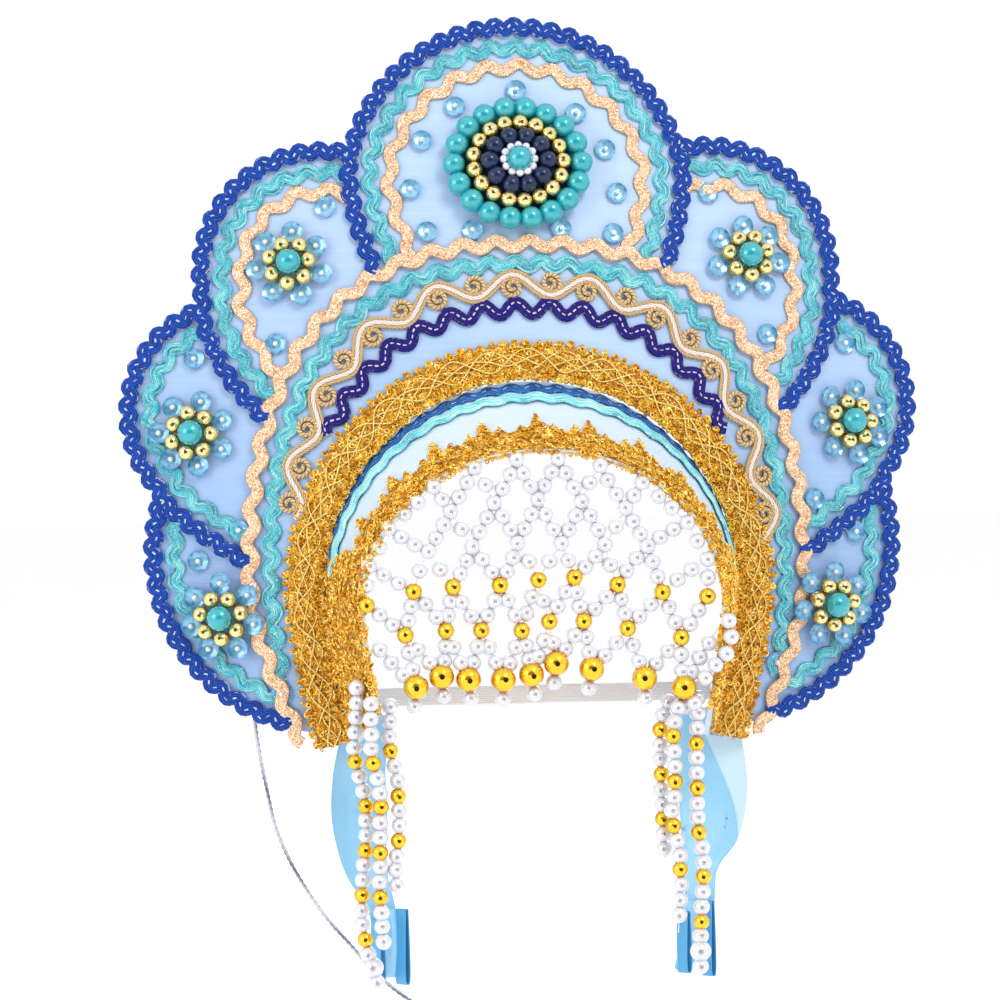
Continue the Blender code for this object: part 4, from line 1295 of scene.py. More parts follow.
@dataclass
class Studio:
    """Camera, lights and floor."""

    azimuth: float = -7.0
    elevation: float = 2.0
    roll: float = 0.9
    distance: float = 2.8
    focal_px: float = 7055.0
    frame_px: float = 1000.0
    sensor: float = 36.0
    target: Vector = field(default_factory=lambda: Vector((-0.012, 0, 0.096)))
    floor_z: float = -0.135
    floor_radius: float = 6.0
    tent_strength: float = 1.05
    tent_opening: tuple[float, float] = (0.80, 0.90)

    def back(self) -> Vector:
        """Unit vector from the object towards the camera."""
        a, e = math.radians(self.azimuth), math.radians(self.elevation)
        return Vector((math.sin(a) * math.cos(e), -math.cos(a) * math.cos(e), math.sin(e)))

    def build(self) -> None:
        """Makes the camera, the lights and the floor."""
        bpy.context.scene.view_settings.view_transform = "Standard"
        self.camera()
        self.surround()
        self.lamp("key_light", Vector((0.55, -1.1, 1.35)), 0.55, 9.5)
        self.lamp("side_light", Vector((-1.2, -0.7, 0.5)), 0.8, 5.0)
        self.lamp("back_light", Vector((0.4, 1.4, 1.1)), 1.0, 8.0)
        self.floor()

    def camera(self) -> None:
        """Places the camera at the photograph's viewing angle."""
        data = bpy.data.cameras.new("camera")
        data.sensor_width = self.sensor
        data.lens = self.focal_px / self.frame_px * self.sensor
        camera = bpy.data.objects.new("camera", data)
        camera.location = self.target + self.back() * self.distance
        lean = Matrix.Rotation(math.radians(-self.roll), 4, "Z").to_quaternion()
        camera.rotation_euler = ((-self.back()).to_track_quat("-Z", "Y") @ lean).to_euler()
        bpy.context.scene.collection.objects.link(camera)
        bpy.context.scene.camera = camera

    def lamp(self, name: str, place: Vector, size: float, power: float) -> None:
        """Adds a soft square light that faces the object."""
        data = bpy.data.lights.new(name, "AREA")
        data.size = size
        data.energy = power
        lamp = bpy.data.objects.new(name, data)
        lamp.location = place
        lamp.rotation_euler = (place - self.target).to_track_quat("Z", "Y").to_euler()
        bpy.context.scene.collection.objects.link(lamp)

    def surround(self) -> None:
        """A white light tent with a dark opening round the camera."""
        world = bpy.data.worlds.new("light_tent")
        world.use_nodes = True
        tree = world.node_tree
        place = tree.nodes.new("ShaderNodeTexCoord")
        facing = tree.nodes.new("ShaderNodeVectorMath")
        facing.operation = "DOT_PRODUCT"
        facing.inputs[1].default_value = self.back()
        tree.links.new(place.outputs["Generated"], facing.inputs[0])
        ramp = tree.nodes.new("ShaderNodeValToRGB")
        low, high = ramp.color_ramp.elements
        low.position, high.position = self.tent_opening
        low.color, high.color = (1, 1, 1, 1), (0.06, 0.06, 0.07, 1)
        tree.links.new(facing.outputs["Value"], ramp.inputs[0])
        background = tree.nodes["Background"]
        background.inputs["Strength"].default_value = self.tent_strength
        ray = tree.nodes.new("ShaderNodeLightPath")
        shown = tree.nodes.new("ShaderNodeMix")
        shown.data_type = "RGBA"
        colours = {socket.name: socket for socket in shown.inputs if socket.type == "RGBA"}
        colours["B"].default_value = (1, 1, 1, 1)
        tree.links.new(ray.outputs["Is Camera Ray"], shown.inputs[0])
        tree.links.new(ramp.outputs[0], colours["A"])
        result = next(socket for socket in shown.outputs if socket.type == "RGBA")
        tree.links.new(result, background.inputs["Color"])
        bpy.context.scene.world = world

    def floor(self) -> None:
        """A plain pale floor under the held-up headdress."""
        bm = bmesh.new()
        place = Matrix.Translation((0, 0, self.floor_z))
        bmesh.ops.create_circle(bm, cap_ends=True, segments=96, radius=self.floor_radius, matrix=place)
        mesh = bpy.data.meshes.new("floor")
        bm.to_mesh(mesh)
        bm.free()
        paint = Paint("pale_floor", roughness=0.9, base_color=(0.97, 0.97, 0.97, 1))
        mesh.materials.append(paint.material)
        floor = bpy.data.objects.new("floor", mesh)
        bpy.context.scene.collection.objects.link(floor)


# Sub-assemblies


@dataclass
class TieCord:
    """The thin silver cord that hangs behind the lower left lobe."""

    diameter: float = 0.0018
    knot: float = 0.0050
    spacing: float = 0.0009
    twist: float = 0.0052
    sides: int = 12
    route: tuple[tuple[float, float, float], ...] = (
        (-0.1102, 0.0155, 0.0180), (-0.1098, 0.0164, 0.0110), (-0.1092, 0.0175, 0.0050),
        (-0.1080, 0.0182, -0.0030), (-0.1057, 0.0180, -0.0150), (-0.1024, 0.0175, -0.0320),
        (-0.0961, 0.0170, -0.0475), (-0.0896, 0.0165, -0.0594), (-0.0824, 0.0160, -0.0696),
        (-0.0742, 0.0155, -0.0795), (-0.0650, 0.0150, -0.0905), (-0.0556, 0.0145, -0.0990),
        (-0.0459, 0.0140, -0.1066),
    )

    def build(self) -> None:
        """Makes the cord of two twisted plies, and its end knot."""
        path = smooth_route([Vector(point) for point in self.route], self.spacing)
        along = lengths_along(path)
        sections = []
        for (point, lean, other), distance in zip(carried(path), along):
            turned = distance / self.twist * math.tau
            row = []
            for step in range(self.sides):
                angle = math.tau * step / self.sides
                radius = self.diameter / 2 * (0.62 + 0.38 * abs(math.cos(angle)))
                spoke = lean * math.cos(angle + turned) + other * math.sin(angle + turned)
                row.append(point + spoke * radius)
            sections.append(row)
        bm = swept(sections, even_shares(self.sides))
        cord = piece_from("cord", bm, [Braid.SILVER], ["tie_cord"])
        knot = self.make_knot(path)

    def make_knot(self, path: Sequence[Vector]) -> bpy.types.Object:
        """The overhand knot at the cord's end."""
        heading = (path[-1] - path[-3]).normalized()
        middle = path[-1] + heading * (self.knot / 2 + GAP)
        turn = heading.to_track_quat("Z", "Y").to_matrix().to_4x4()
        loop = []
        for step in range(49):
            angle = math.tau * step / 48 * 2
            radius = self.knot / 2 * (0.58 + 0.26 * math.cos(1.5 * angle))
            height = self.knot / 2 * 0.42 * math.sin(1.5 * angle)
            loop.append(middle + turn @ Vector((radius * math.cos(angle), radius * math.sin(angle), height)))
        half = heading * self.knot * 0.42
        bm = joined([
            tube_between(loop, self.diameter / 2 * 0.72, 8),
            tube_between([middle - half, middle + half], 0.0008, 8),
        ])
        return piece_from("cord_knot", bm, [Braid.SILVER], ["tie_cord_knot"])


@dataclass
class Crest:
    """The padded satin board."""

    column: float = 0.0022
    rows: int = 34
    round_steps: int = 5
    puff: float = 0.00025
    ripple: float = 0.00022

    def build(self) -> None:
        """Makes the board with its rounded edge, its front puffed a little, and its lining."""
        opening = SHAPE.opening_curve()
        right = [(edge, SHAPE.ray_hit(opening, SHAPE.angle_of(edge))) for edge in SHAPE.edge(self.column)]
        right.append((SHAPE.foot(), opening[0]))
        left = [(Vector((-edge.x, edge.y)), Vector((-inner.x, inner.y))) for edge, inner in right[:0:-1]]
        sections = [self.section(inner, edge) for edge, inner in left + right]
        bm = swept(sections, even_shares(len(sections[0])))
        for face in bm.faces:
            face.material_index = 1 if face.normal.y > 0.3 else 0
        piece_from("crest_cloth", bm, [Cloth.CREST, Cloth.LINING], ["crest"], sharp=60)

    def section(self, inner: Vector, edge: Vector) -> list[Vector]:
        """One ring of the board, from the opening's edge over the front and round to the back."""
        half = SHAPE.board / 2
        outwards = (edge - inner).normalized()
        ring = []
        for step in range(self.rows + 1):
            point = (inner + outwards * half).lerp(edge - outwards * half, step / self.rows)
            ring.append(SHAPE.on(point, self.relief(point, min(step, self.rows - step))))
        ring += self.rim(edge - outwards * half, outwards, half)
        for step in range(self.rows // 2 + 1):
            point = (edge - outwards * half).lerp(inner + outwards * half, step / (self.rows // 2))
            ring.append(SHAPE.on(point, -SHAPE.board))
        ring += self.rim(inner + outwards * half, -outwards, half, back_first=True)
        return ring

    def relief(self, point: Vector, rows_in: int) -> float:
        """Height of the cloth over the board at a place, nothing at its edges."""
        ease = min(1.0, rows_in / 4)
        soft = noise.noise(Vector((point.x * 38, point.y * 38, 1.7)))
        fine = noise.noise(Vector((point.x * 120, point.y * 120, 5.1)))
        return ease * (self.puff + self.ripple * (soft * 0.8 + fine * 0.35) - self.ripple * 0.8)

    def rim(self, point: Vector, outwards: Vector, half: float, back_first: bool = False) -> list[Vector]:
        """Points round one edge of the board, between its faces."""
        made = []
        for step in range(1, self.round_steps):
            angle = math.pi * step / self.round_steps
            reach = outwards * (half * math.sin(angle))
            lift = -half + (half * math.cos(angle)) * (-1 if back_first else 1)
            made.append(SHAPE.on(point + reach, lift))
        return made


@dataclass(frozen=True)
class Rickrack:
    """Sizes of a zigzag braid, its finish and its node's slot, which is not used; sharpness 1 is a sine."""

    width: float
    wave: float
    period: float
    thick: float
    sharpness: float
    finish: Braid
    slot: str


class RickrackKind(Enum):
    """The zigzag braids on the crest."""

    LOBE_BLUE = Rickrack(0.0053, 0.00170, 0.0076, 0.0014, 0.85, Braid.LOBE_BLUE, "royal_blue_braid")
    LOBE_TURQUOISE = Rickrack(0.0050, 0.00155, 0.0100, 0.0012, 1.0, Braid.TURQUOISE, "turquoise_braid")
    LOBE_PEACH = Rickrack(0.0048, 0.00165, 0.0133, 0.0011, 1.0, Braid.PEACH, "peach_braid")
    NAVY = Rickrack(0.0050, 0.00240, 0.0130, 0.0015, 0.85, Braid.NAVY, "navy_braid")
    ARCH_TURQUOISE = Rickrack(0.0052, 0.00165, 0.0105, 0.0012, 1.0, Braid.TURQUOISE, "turquoise_braid")
    ARCH_PEACH = Rickrack(0.0050, 0.00165, 0.0133, 0.0011, 1.0, Braid.PEACH, "peach_braid")

    def lay(self, node: str, line: Curve, lift: float, phase: float = 0.0) -> None:
        """Makes the braid that replaces a CAD node, along a middle line on the crest.

        Args:
            node: The CAD node.
            line: The middle line.
            lift: Height of its underside over the crest.
            phase: Share of a wave at the start.
        """
        kind = self.value
        path = waved(resampled(line, 0.0006), kind.wave, kind.period, kind.sharpness, phase)
        path = resampled(rounded(path, 2), 0.0009)

        def strands(side: float, along: float) -> float:
            """Ridges of the strands, and a slow rise and fall."""
            ridge = abs(math.sin((side + 0.5) * math.pi * 5)) * 0.00022
            return ridge + 0.00012 * noise.noise(Vector((along * 260, side * 3, 0.3)))

        bm = laid_braid(path, kind.width, kind.thick, lift, 16, strands)
        piece_from(f"{node}_weave", bm, [kind.finish], [node])


@dataclass
class ArchBraids:
    """The braids that follow the arch: gimp, navy zigzag, scrolled cord, turquoise and peach."""

    gimp_width: float = 0.0124
    navy_reach: float = 0.0038
    scroll_reach: float = 0.0035
    turquoise_reach: float = 0.0026
    peach_reach: float = 0.0030
    clearance: float = 0.0005
    scroll_wave: float = 0.0041
    scroll_period: float = 0.0320
    scroll_shift: float = 0.0045
    overlaps: dict[str, float] = field(default_factory=lambda: {"scroll": 0.0046, "turquoise": 0.0036})
    scroll_ends: tuple[float, float] = (0.0770, 0.0905)
    over_ends: float = 0.0013
    cord_step: float = 0.0008
    curl_radius: float = 0.0037
    curl_turns: float = 1.65

    def lines(self) -> dict[str, Curve]:
        """Middle line of each braid, cut where a neighbour leaves it no room."""
        lines = {"gimp": SHAPE.braid_curve(0.0063, 0.0070, 0.0115, 2.0)}
        reach = {
            "gimp": self.gimp_width / 2, "navy": self.navy_reach, "scroll": self.scroll_reach,
            "turquoise": self.turquoise_reach, "peach": self.peach_reach,
        }
        shapes = {
            "navy": ((0.0070, 0.0275, 0.0, 2.3), ("gimp",)),
            "peach": ((0.0268, 0.0530, 0.0200, 2.5), ("gimp",)),
            "turquoise": ((0.0190, 0.0452, 0.0085, 2.5), ("gimp", "peach")),
            "scroll": ((0.0125, 0.0368, 0.0, 2.4), ("gimp", "turquoise")),
        }
        for name, (shape, others) in shapes.items():
            line = resampled(SHAPE.braid_curve(*shape), 0.001)
            slack = self.overlaps.get(name, -self.clearance)
            for other in others:
                line = trimmed(line, lines[other], reach[other] + reach[name] - slack)
            right, left = self.scroll_ends if name == "scroll" else (0.0, 0.0)
            lines[name] = [point for point in line if point.y > (right if point.x > 0 else left)]
        return lines

    def build(self, lines: dict[str, Curve]) -> None:
        """Makes every arch braid."""
        for kind, name, node in (
            (RickrackKind.NAVY, "navy", "navy_rickrack"),
            (RickrackKind.ARCH_TURQUOISE, "turquoise", "arch_turquoise_rickrack"),
            (RickrackKind.ARCH_PEACH, "peach", "arch_peach_rickrack"),
        ):
            kind.lay(node, lines[name], self.over_ends if name == "peach" else GAP)
        self.scroll(lines["scroll"])
        Gimp().build(lines["gimp"])

    def scroll(self, line: Curve) -> None:
        """The scrolled cord: a pale cord between two gold ones, and a curl in each hollow."""
        path = resampled(line, self.cord_step)
        along = lengths_along(path)
        waves = round(along[-1] / self.scroll_period)
        middle = [
            point + side_step(path, index) * self.scroll_wave
            * math.cos(math.tau * waves * (along[index] + self.scroll_shift) / along[-1])
            for index, point in enumerate(path)
        ]
        middle = resampled(middle, self.cord_step)
        parts = [numbered(laid_braid(middle, 0.0019, 0.0019, GAP, 10), 1)]
        for side in (-1, 1):
            edge = [point + side_step(middle, index) * side * 0.00155 for index, point in enumerate(middle)]
            parts.append(laid_braid(edge, 0.0015, 0.0017, GAP, 8))
        for half in range(2 * waves + 1):
            index = nearest(along, along[-1] * half / (2 * waves) - self.scroll_shift)
            hollow = -1 if half % 2 == 0 else 1
            if 2 < index < len(path) - 3:
                parts.append(self.curl(path, index, hollow))
        finishes = [Braid.SCROLL, Braid.SCROLL_HEART]
        piece_from("scroll_cord_work", joined(parts), finishes, ["scroll_braid"])

    def curl(self, path: Curve, index: int, hollow: int) -> bmesh.types.BMesh:
        """A snail of cord in a hollow of the wave."""
        across = side_step(path, index) * hollow
        along = Vector((across.y, -across.x))
        centre = path[index] + across * (self.scroll_wave * 0.15 + 0.0003)
        points = []
        for step in range(45):
            share = step / 44
            angle = -math.pi / 2 + hollow * math.tau * self.curl_turns * share
            radius = self.curl_radius * (1 - share) + 0.0007
            flat = centre + across * (radius * math.sin(angle)) + along * (radius * math.cos(angle) * hollow)
            points.append(SHAPE.on(flat, GAP + 0.0007 + 0.0006 * share))
        return tube_between(points, lambda share: 0.00105 * (1 - 0.2 * share), 7)


@dataclass
class Gimp:
    """The gold gimp along the opening: a bouclé band with raised leaves and looped edges."""

    width: float = 0.0124
    thick: float = 0.0014
    leaf: float = 0.0150
    curls: int = 1500
    curl: float = 0.00085
    thread: float = 0.00030
    knob_pitch: float = 0.0042
    loop_pitch: float = 0.0068

    def build(self, line: Curve) -> None:
        """Makes the band, its curls, the raised cords and the loops."""
        path = resampled(line, 0.0007)

        def crinkle(side: float, along: float) -> float:
            """Height of the crinkled thread."""
            near = noise.noise(Vector((along * 900, side * 11, 2.0)))
            far = noise.noise(Vector((along * 330, side * 5, 7.0)))
            return 0.0005 * near + 0.0004 * far

        finishes = [Braid.GIMP, Braid.GIMP_CURL, Braid.GIMP_CORD]
        work = joined((
            laid_braid(path, self.width, self.thick, GAP, 28, crinkle),
            numbered(scattered(thread_ring(self.curl, self.thread), self.curl_places(path)), 1),
            numbered(joined(self.leaves(path) + self.inner_loops(path)), 2),
            numbered(scattered(thread_ring(0.00095, 0.00042), self.knob_places(path)), 1),
        ))
        piece_from("gimp_work", work, finishes, ["gimp_braid"], 80)

    def seat(self, path: Curve, share: float, side: float, lift: float) -> Matrix:
        """A place on the gimp, its Z axis along the crest's normal."""
        index = min(len(path) - 1, max(0, round(share * (len(path) - 1))))
        point = path[index] + side_step(path, index) * side
        return SHAPE.seat(point, lift)

    def curl_places(self, path: Curve) -> list[Matrix]:
        """Places of the small curls all over the band."""
        dice = random.Random(17)
        half = self.width / 2 - 0.0002
        return [
            self.seat(
                path, (number + dice.random()) / self.curls, dice.uniform(-half, half),
                GAP + self.thick + dice.uniform(-0.0001, 0.0006),
            ) @ tossed(dice, 0.9)
            for number in range(self.curls)
        ]

    def knob_places(self, path: Curve) -> list[Matrix]:
        """Places of the knobs along both edges, most on the outer one."""
        dice = random.Random(19)
        length = lengths_along(path)[-1]
        places = []
        for side, pitch in ((-1, self.knob_pitch), (1, self.knob_pitch * 0.6)):
            count = round(length / pitch)
            for number in range(count):
                for _ in range(3):
                    reach = self.width / 2 + dice.uniform(0.0002, 0.0013)
                    share = (number + 0.5 + dice.uniform(-0.14, 0.14)) / count
                    seat = self.seat(path, share, side * reach, GAP + dice.uniform(0.0006, 0.0016))
                    places.append(seat @ tossed(dice, 0.6))
        return places

    def leaves(self, path: Curve) -> list[bmesh.types.BMesh]:
        """Raised cords that cross to make a chain of leaves."""
        along = lengths_along(path)
        count = round(along[-1] / self.leaf)
        made = []
        for side in (-1, 1):
            for shift, reach in ((0.0, 0.34), (0.5, 0.17)):
                points = []
                for index in range(0, len(path), 2):
                    turn = math.pi * (along[index] / along[-1] * count + shift)
                    offset = side * self.width * reach * math.sin(turn)
                    rise = self.thick + 0.0007 + 0.0004 * math.cos(turn * 2) + 0.0002 * side
                    offset += 0.0007 * noise.noise(Vector((along[index] * 130, reach * 9, side)))
                    points.append(SHAPE.on(path[index] + side_step(path, index) * offset, GAP + rise))
                made.append(tube_between(points, 0.00036, 5))
        return made

    def inner_loops(self, path: Curve) -> list[bmesh.types.BMesh]:
        """Open thread loops that hang over the band from the inner edge."""
        dice = random.Random(11)
        count = round(lengths_along(path)[-1] / self.loop_pitch)
        made = []
        for number in range(count):
            share = (number + dice.uniform(0.3, 0.7)) / count
            index = min(len(path) - 2, max(1, round(share * (len(path) - 1))))
            across = side_step(path, index)
            tangent = Vector((across.y, -across.x))
            reach = 0.0021 * dice.uniform(0.4, 1.1)
            half = 0.0016 * dice.uniform(0.7, 1.1)
            points = []
            for step in range(11):
                angle = math.pi * (step / 10 * 1.3 - 0.15)
                flat = path[index] + across * (self.width / 2 + (reach + 0.0006) * math.sin(angle) - 0.0004)
                flat += tangent * half * math.cos(angle)
                points.append(SHAPE.on(flat, GAP + 0.0009 + 0.0006 * math.sin(angle)))
            made.append(tube_between(points, 0.00032, 5))
        return made


@dataclass
class LobeBraids:
    """The blue, turquoise and peach zigzags round the seven lobes."""

    depths: tuple[float, ...] = (0.0026, 0.0108, 0.0186)
    widths: tuple[float, ...] = (0.0050, 0.0056, 0.0060)
    clearance: float = 0.0005
    tuck: float = 0.0045
    arch_tuck: float = 0.0006
    over_ends: float = 0.0011
    step: float = 0.001
    corner_passes: int = 20

    def border_line(self, border: Border, notch: Vector, peach: Curve) -> Curve:
        """Middle line of the braid between two lobes, from the notch to the arch's outer braid."""
        end = SHAPE.ray_hit(peach, border.end_angle)
        side = (end - notch).normalized()
        bow = Vector((-side.y, side.x))
        if bow.dot(Vector((1, -1))) < 0:
            bow = -bow
        return [
            notch.lerp(end, share) + bow * border.bow * math.sin(math.pi * share)
            for share in (step / 12 for step in range(13))
        ]

    def lobe_line(
        self, lobe: Lobe, depth: float, border: Optional[Curve], keep_off: Sequence[tuple[Curve, float]]
    ) -> Curve:
        """Middle line of a braid on a right-hand lobe, from its upper end round and down its lower border.

        Args:
            lobe: The lobe.
            depth: Distance of the line from the lobe's edge.
            border: The border line below it, if it has one.
            keep_off: Other curves and the least distance to each.

        Returns:
            The line.
        """
        centre = SHAPE.lobe_centre(lobe)
        radius = lobe.radius - depth
        first = math.pi / 2 if lobe is SHAPE.top else math.pi
        last = first - 0.8 * math.tau * (0.5 if lobe is SHAPE.top else 1.0)
        turns = round((first - last) * radius / self.step)
        line = []
        for step in range(turns + 1):
            angle = first + (last - first) * step / turns
            line.append(centre + pointing(angle) * radius)
        if border:
            moved = []
            for index, point in enumerate(border):
                across = side_step(border, index)
                across = -across if across.dot(centre - point) < 0 else across
                moved.append(point + across * (depth - self.depths[0]))
            leg = resampled(moved, self.step)
            late = range(len(line) // 3, len(line))
            join, start = min(
                ((index, place) for index in late for place in range(len(leg))),
                key=lambda pair: (line[pair[0]] - leg[pair[1]]).length,
            )
            line = line[:join] + leg[start:]
        for curve, distance in keep_off:
            line = trimmed(line, curve, distance)
        return rounded(resampled(line, self.step), self.corner_passes)

    def lines(self, arch: dict[str, Curve]) -> dict[tuple[int, int], Curve]:
        """Middle lines by braid and lobe, for the right side."""
        peach = arch["peach"]
        borders = [self.border_line(*pair, peach) for pair in zip(SHAPE.borders, SHAPE.notches())]
        lines: dict[tuple[int, int], Curve] = {}
        for braid, (depth, width) in enumerate(zip(self.depths, self.widths)):
            for index, lobe in enumerate((SHAPE.top, *SHAPE.sides)):
                if braid == 2 and index > 1:
                    break
                keep_off = [(peach, self.arch_tuck), (arch["gimp"], 0.0062 + width / 2 + self.clearance)]
                if index:
                    keep_off.append((lines[0, index - 1], (self.widths[0] + width) / 2 - self.tuck))
                border = borders[index] if index < len(borders) else None
                lines[braid, index] = self.lobe_line(lobe, depth, border, keep_off)
        return lines

    def build(self, arch: dict[str, Curve]) -> None:
        """Makes the braids of the seven lobes."""
        lines = self.lines(arch)
        kinds = (
            (RickrackKind.LOBE_BLUE, "blue"), (RickrackKind.LOBE_TURQUOISE, "turquoise"),
            (RickrackKind.LOBE_PEACH, "peach"),
        )
        for (braid, lobe), line in lines.items():
            kind, colour = kinds[braid]
            lift = self.over_ends if braid == 0 else GAP
            if lobe == 0:
                kind.lay(f"{colour}_rickrack_top", mirrored(line[:0:-1]) + line, lift)
                continue
            place = PLACES[lobe - 1]
            kind.lay(f"{colour}_rickrack_{place}_right", line, lift)
            kind.lay(f"{colour}_rickrack_{place}_left", mirrored(line), lift, 0.25)


@dataclass
class BrowBand:
    """The cone of satin that comes forward, painted paler than the crest's satin as painted light, with its two
    braids and the toothed gold edge.
    """

    behind: float = 0.005
    forward: float = 0.038
    wall: float = 0.002
    front_half: float = 0.0726
    front_top: float = 0.117
    front_centre: float = 0.056
    front_foot: Vector = field(default_factory=lambda: Vector((0.0665, 0.014)))
    columns: int = 220
    trim_end: float = 0.15
    teeth: int = 15
    curls: int = 2800
    foot_end: float = 0.15
    tooth_foot: float = 0.0122
    tall_tooth: float = 0.0115
    small_tooth: float = 0.0050
    tangent_reach: float = 0.0125
    _curves: Optional[tuple[Curve, Curve]] = None

    def curves(self) -> tuple[Curve, Curve]:
        """Outer edges of the band's back and front."""
        if not self._curves:
            half = SHAPE.opening - SHAPE.board * math.sin(SHAPE.lean) - GAP
            back = SHAPE.arch(
                half, SHAPE.centre_z + half, SHAPE.centre_z, Vector((half - SHAPE.foot_draw, 0.0))
            )
            front = SHAPE.arch(self.front_half, self.front_top, self.front_centre, self.front_foot)
            self._curves = (back, front)
        return self._curves

    def place(self, along: float, depth: float, lift: float = 0.0) -> Vector:
        """The outer face: along from the right foot to the left, depth from back to front."""

        def ends(share: float) -> tuple[Vector, Vector]:
            """Back and front point at a share of the way round."""
            made = []
            for points, y in zip(self.curves(), (self.behind, -self.forward)):
                spot = max(0.0, min(1.0, share)) * (len(points) - 1)
                index = min(int(spot), len(points) - 2)
                flat = points[index].lerp(points[index + 1], spot - index)
                made.append(Vector((flat.x, y, flat.y)))
            return made[0], made[1]

        rear, fore = ends(along)
        ahead, before = ends(along + self.tangent_reach), ends(along - self.tangent_reach)
        tangent = ahead[0].lerp(ahead[1], depth) - before[0].lerp(before[1], depth)
        normal = tangent.cross(fore - rear).normalized()
        point = rear.lerp(fore, depth)
        if normal.dot(Vector((point.x, 0, point.z - SHAPE.centre_z))) < 0:
            normal = -normal
        return point + normal * lift

    def depth_at(self, along: float) -> float:
        """Length of the face from back to front."""
        return (self.place(along, 1.0) - self.place(along, 0.0)).length

    def build(self) -> None:
        """Makes the band and its trims."""
        self.cloth()
        blue, turquoise = Braid.BAND_BLUE, Braid.BAND_TURQUOISE
        self.zigzag("band_blue_rickrack", 0.125, 0.0060, 0.0011, 26, blue, GAP)
        self.zigzag(
            "band_turquoise_rickrack", 0.275, 0.0062, 0.0009, 22, turquoise, 0.0008
        )
        self.picot()

    def cloth(self) -> None:
        """The folded satin wall."""
        sections = []
        for column in range(self.columns + 1):
            along = column / self.columns
            ring = []
            for step in range(13):
                depth = step / 12
                rough = noise.noise(Vector((along * 60, depth * 3, 0.0)))
                puff = (0.0002 + 0.00018 * rough) * math.sin(math.pi * depth)
                ring.append(self.place(along, depth, puff))
            ring.append(self.place(along, 1.0, -self.wall * 0.3) + FRONT * 0.0005)
            ring.append(self.place(along, 1.0, -self.wall * 0.7) + FRONT * 0.0005)
            for step in range(9):
                ring.append(self.place(along, 1 - step / 8, -self.wall))
            sections.append(ring)
        bm = swept(sections, even_shares(len(sections[0])))
        piece_from("brow_band_cloth", bm, [Cloth.BAND_LIT], ["brow_band"], sharp=60)

    def zigzag(
        self, node: str, share: float, width: float, wave: float, waves: int, finish: Braid,
        lift: float,
    ) -> None:
        """One braid round the band.

        Args:
            node: The CAD node that it replaces.
            share: Its place from the back edge, 0, to the front edge, 1.
            width: Width of the strip.
            wave: How far it swings.
            waves: Count of whole waves.
            finish: Its finish.
            lift: Height of its underside over the band.
        """
        ring, shares = flat_ring(width, 0.0011, 14)
        steps = waves * 12
        sections = []
        for step in range(steps + 1):
            along = self.trim_end + (1 - 2 * self.trim_end) * step / steps
            whole = self.depth_at(along)
            swing = wave * math.sin(math.tau * waves * step / steps)
            row = []
            for side, height in ring:
                ridge = 0.0
                if height > 0.0006:
                    ridge = 0.00016 * abs(math.sin((side / width + 0.5) * math.pi * 4))
                row.append(self.place(along, share + (swing + side) / whole, lift + height + ridge))
            sections.append(row)
        piece_from(f"{node}_weave", swept(sections, shares), [finish], [node])

    def tooth(self, along: float) -> float:
        """Height of the toothed edge's outline, from the front rim back."""
        phase = (along * self.teeth) % 1.0
        tall = max(0.0, 1 - abs(phase - 0.5) / 0.2) ** 1.1 * self.tall_tooth
        small = max(max(0.0, 1 - abs(phase - spot) / 0.12) for spot in (0.2, 0.8)) * self.small_tooth
        edge = self.tooth_foot + max(tall, small)
        low = 1 - min(1.0, max(0.0, (min(along, 1 - along) - self.foot_end) / 0.06))
        return edge + (self.depth_at(along) * 0.90 - edge) * low * low * (3 - 2 * low)

    def picot(self) -> None:
        """The gold edge, with a tall tooth between small ones, all of curled thread."""
        steps = self.teeth * 30
        sections = []
        for step in range(steps + 1):
            along = step / steps
            whole = self.depth_at(along)
            height = self.tooth(along) - 0.0003 + 0.0005 * noise.noise(Vector((along * 500, 0.0, 3.0)))
            row = []
            for place in range(15):
                share = place / 14
                depth = 1 - (GAP + height * (1 - share)) / whole
                crinkle = 0.0005 * noise.noise(Vector((along * 520, share * 6, 1.0)))
                dome = 0.0011 * math.sin(math.pi * min(1.0, 0.15 + share * 0.85)) ** 0.5
                row.append(self.place(along, depth, GAP + max(0.0002, dome + crinkle)))
            for share in (1.0, 0.5, 0.0):
                depth = 1 - (GAP + height * (1 - share)) / whole
                row.append(self.place(along, depth, GAP))
            sections.append(row)
        band = swept(sections, even_shares(len(sections[0])))
        curls = numbered(scattered(thread_ring(0.00085, 0.0003), self.curl_places()), 1)
        finishes = [Braid.GIMP, Braid.GIMP_CURL]
        piece_from("picot_work", joined((band, curls)), finishes, ["picot_trim"], 80)

    def curl_places(self) -> list[Matrix]:
        """Places of the curls over the toothed edge, thickest along its outline and at the rim."""
        dice = random.Random(5)
        places = []
        shares = even_shares(400)
        for along in sorted(dice.choices(shares, [self.tooth(share) for share in shares], k=self.curls)):
            along = min(1.0, max(0.0, along + dice.uniform(-0.0013, 0.0013)))
            whole = self.depth_at(along)
            back = dice.uniform(0.0004, 1.0) ** 0.8 * (self.tooth(along) - 0.0004)
            if dice.random() < 0.2:
                rim = self.place(along, 1.0, -dice.uniform(-0.0006, self.wall))
                rim += FRONT * dice.uniform(0.0009, 0.0014)
                upright = Matrix.Rotation(math.pi / 2, 4, "X")
                places.append(Matrix.Translation(rim) @ upright @ tossed(dice, 0.8))
                continue
            depth = 1 - back / whole
            point = self.place(along, depth, GAP + 0.0011 + dice.uniform(-0.0002, 0.0006))
            normal = self.place(along, depth, 1.0) - self.place(along, depth, 0.0)
            turn = normal.to_track_quat("Z", "Y").to_matrix().to_4x4()
            places.append(Matrix.Translation(point) @ turn @ tossed(dice, 0.8))
        return places


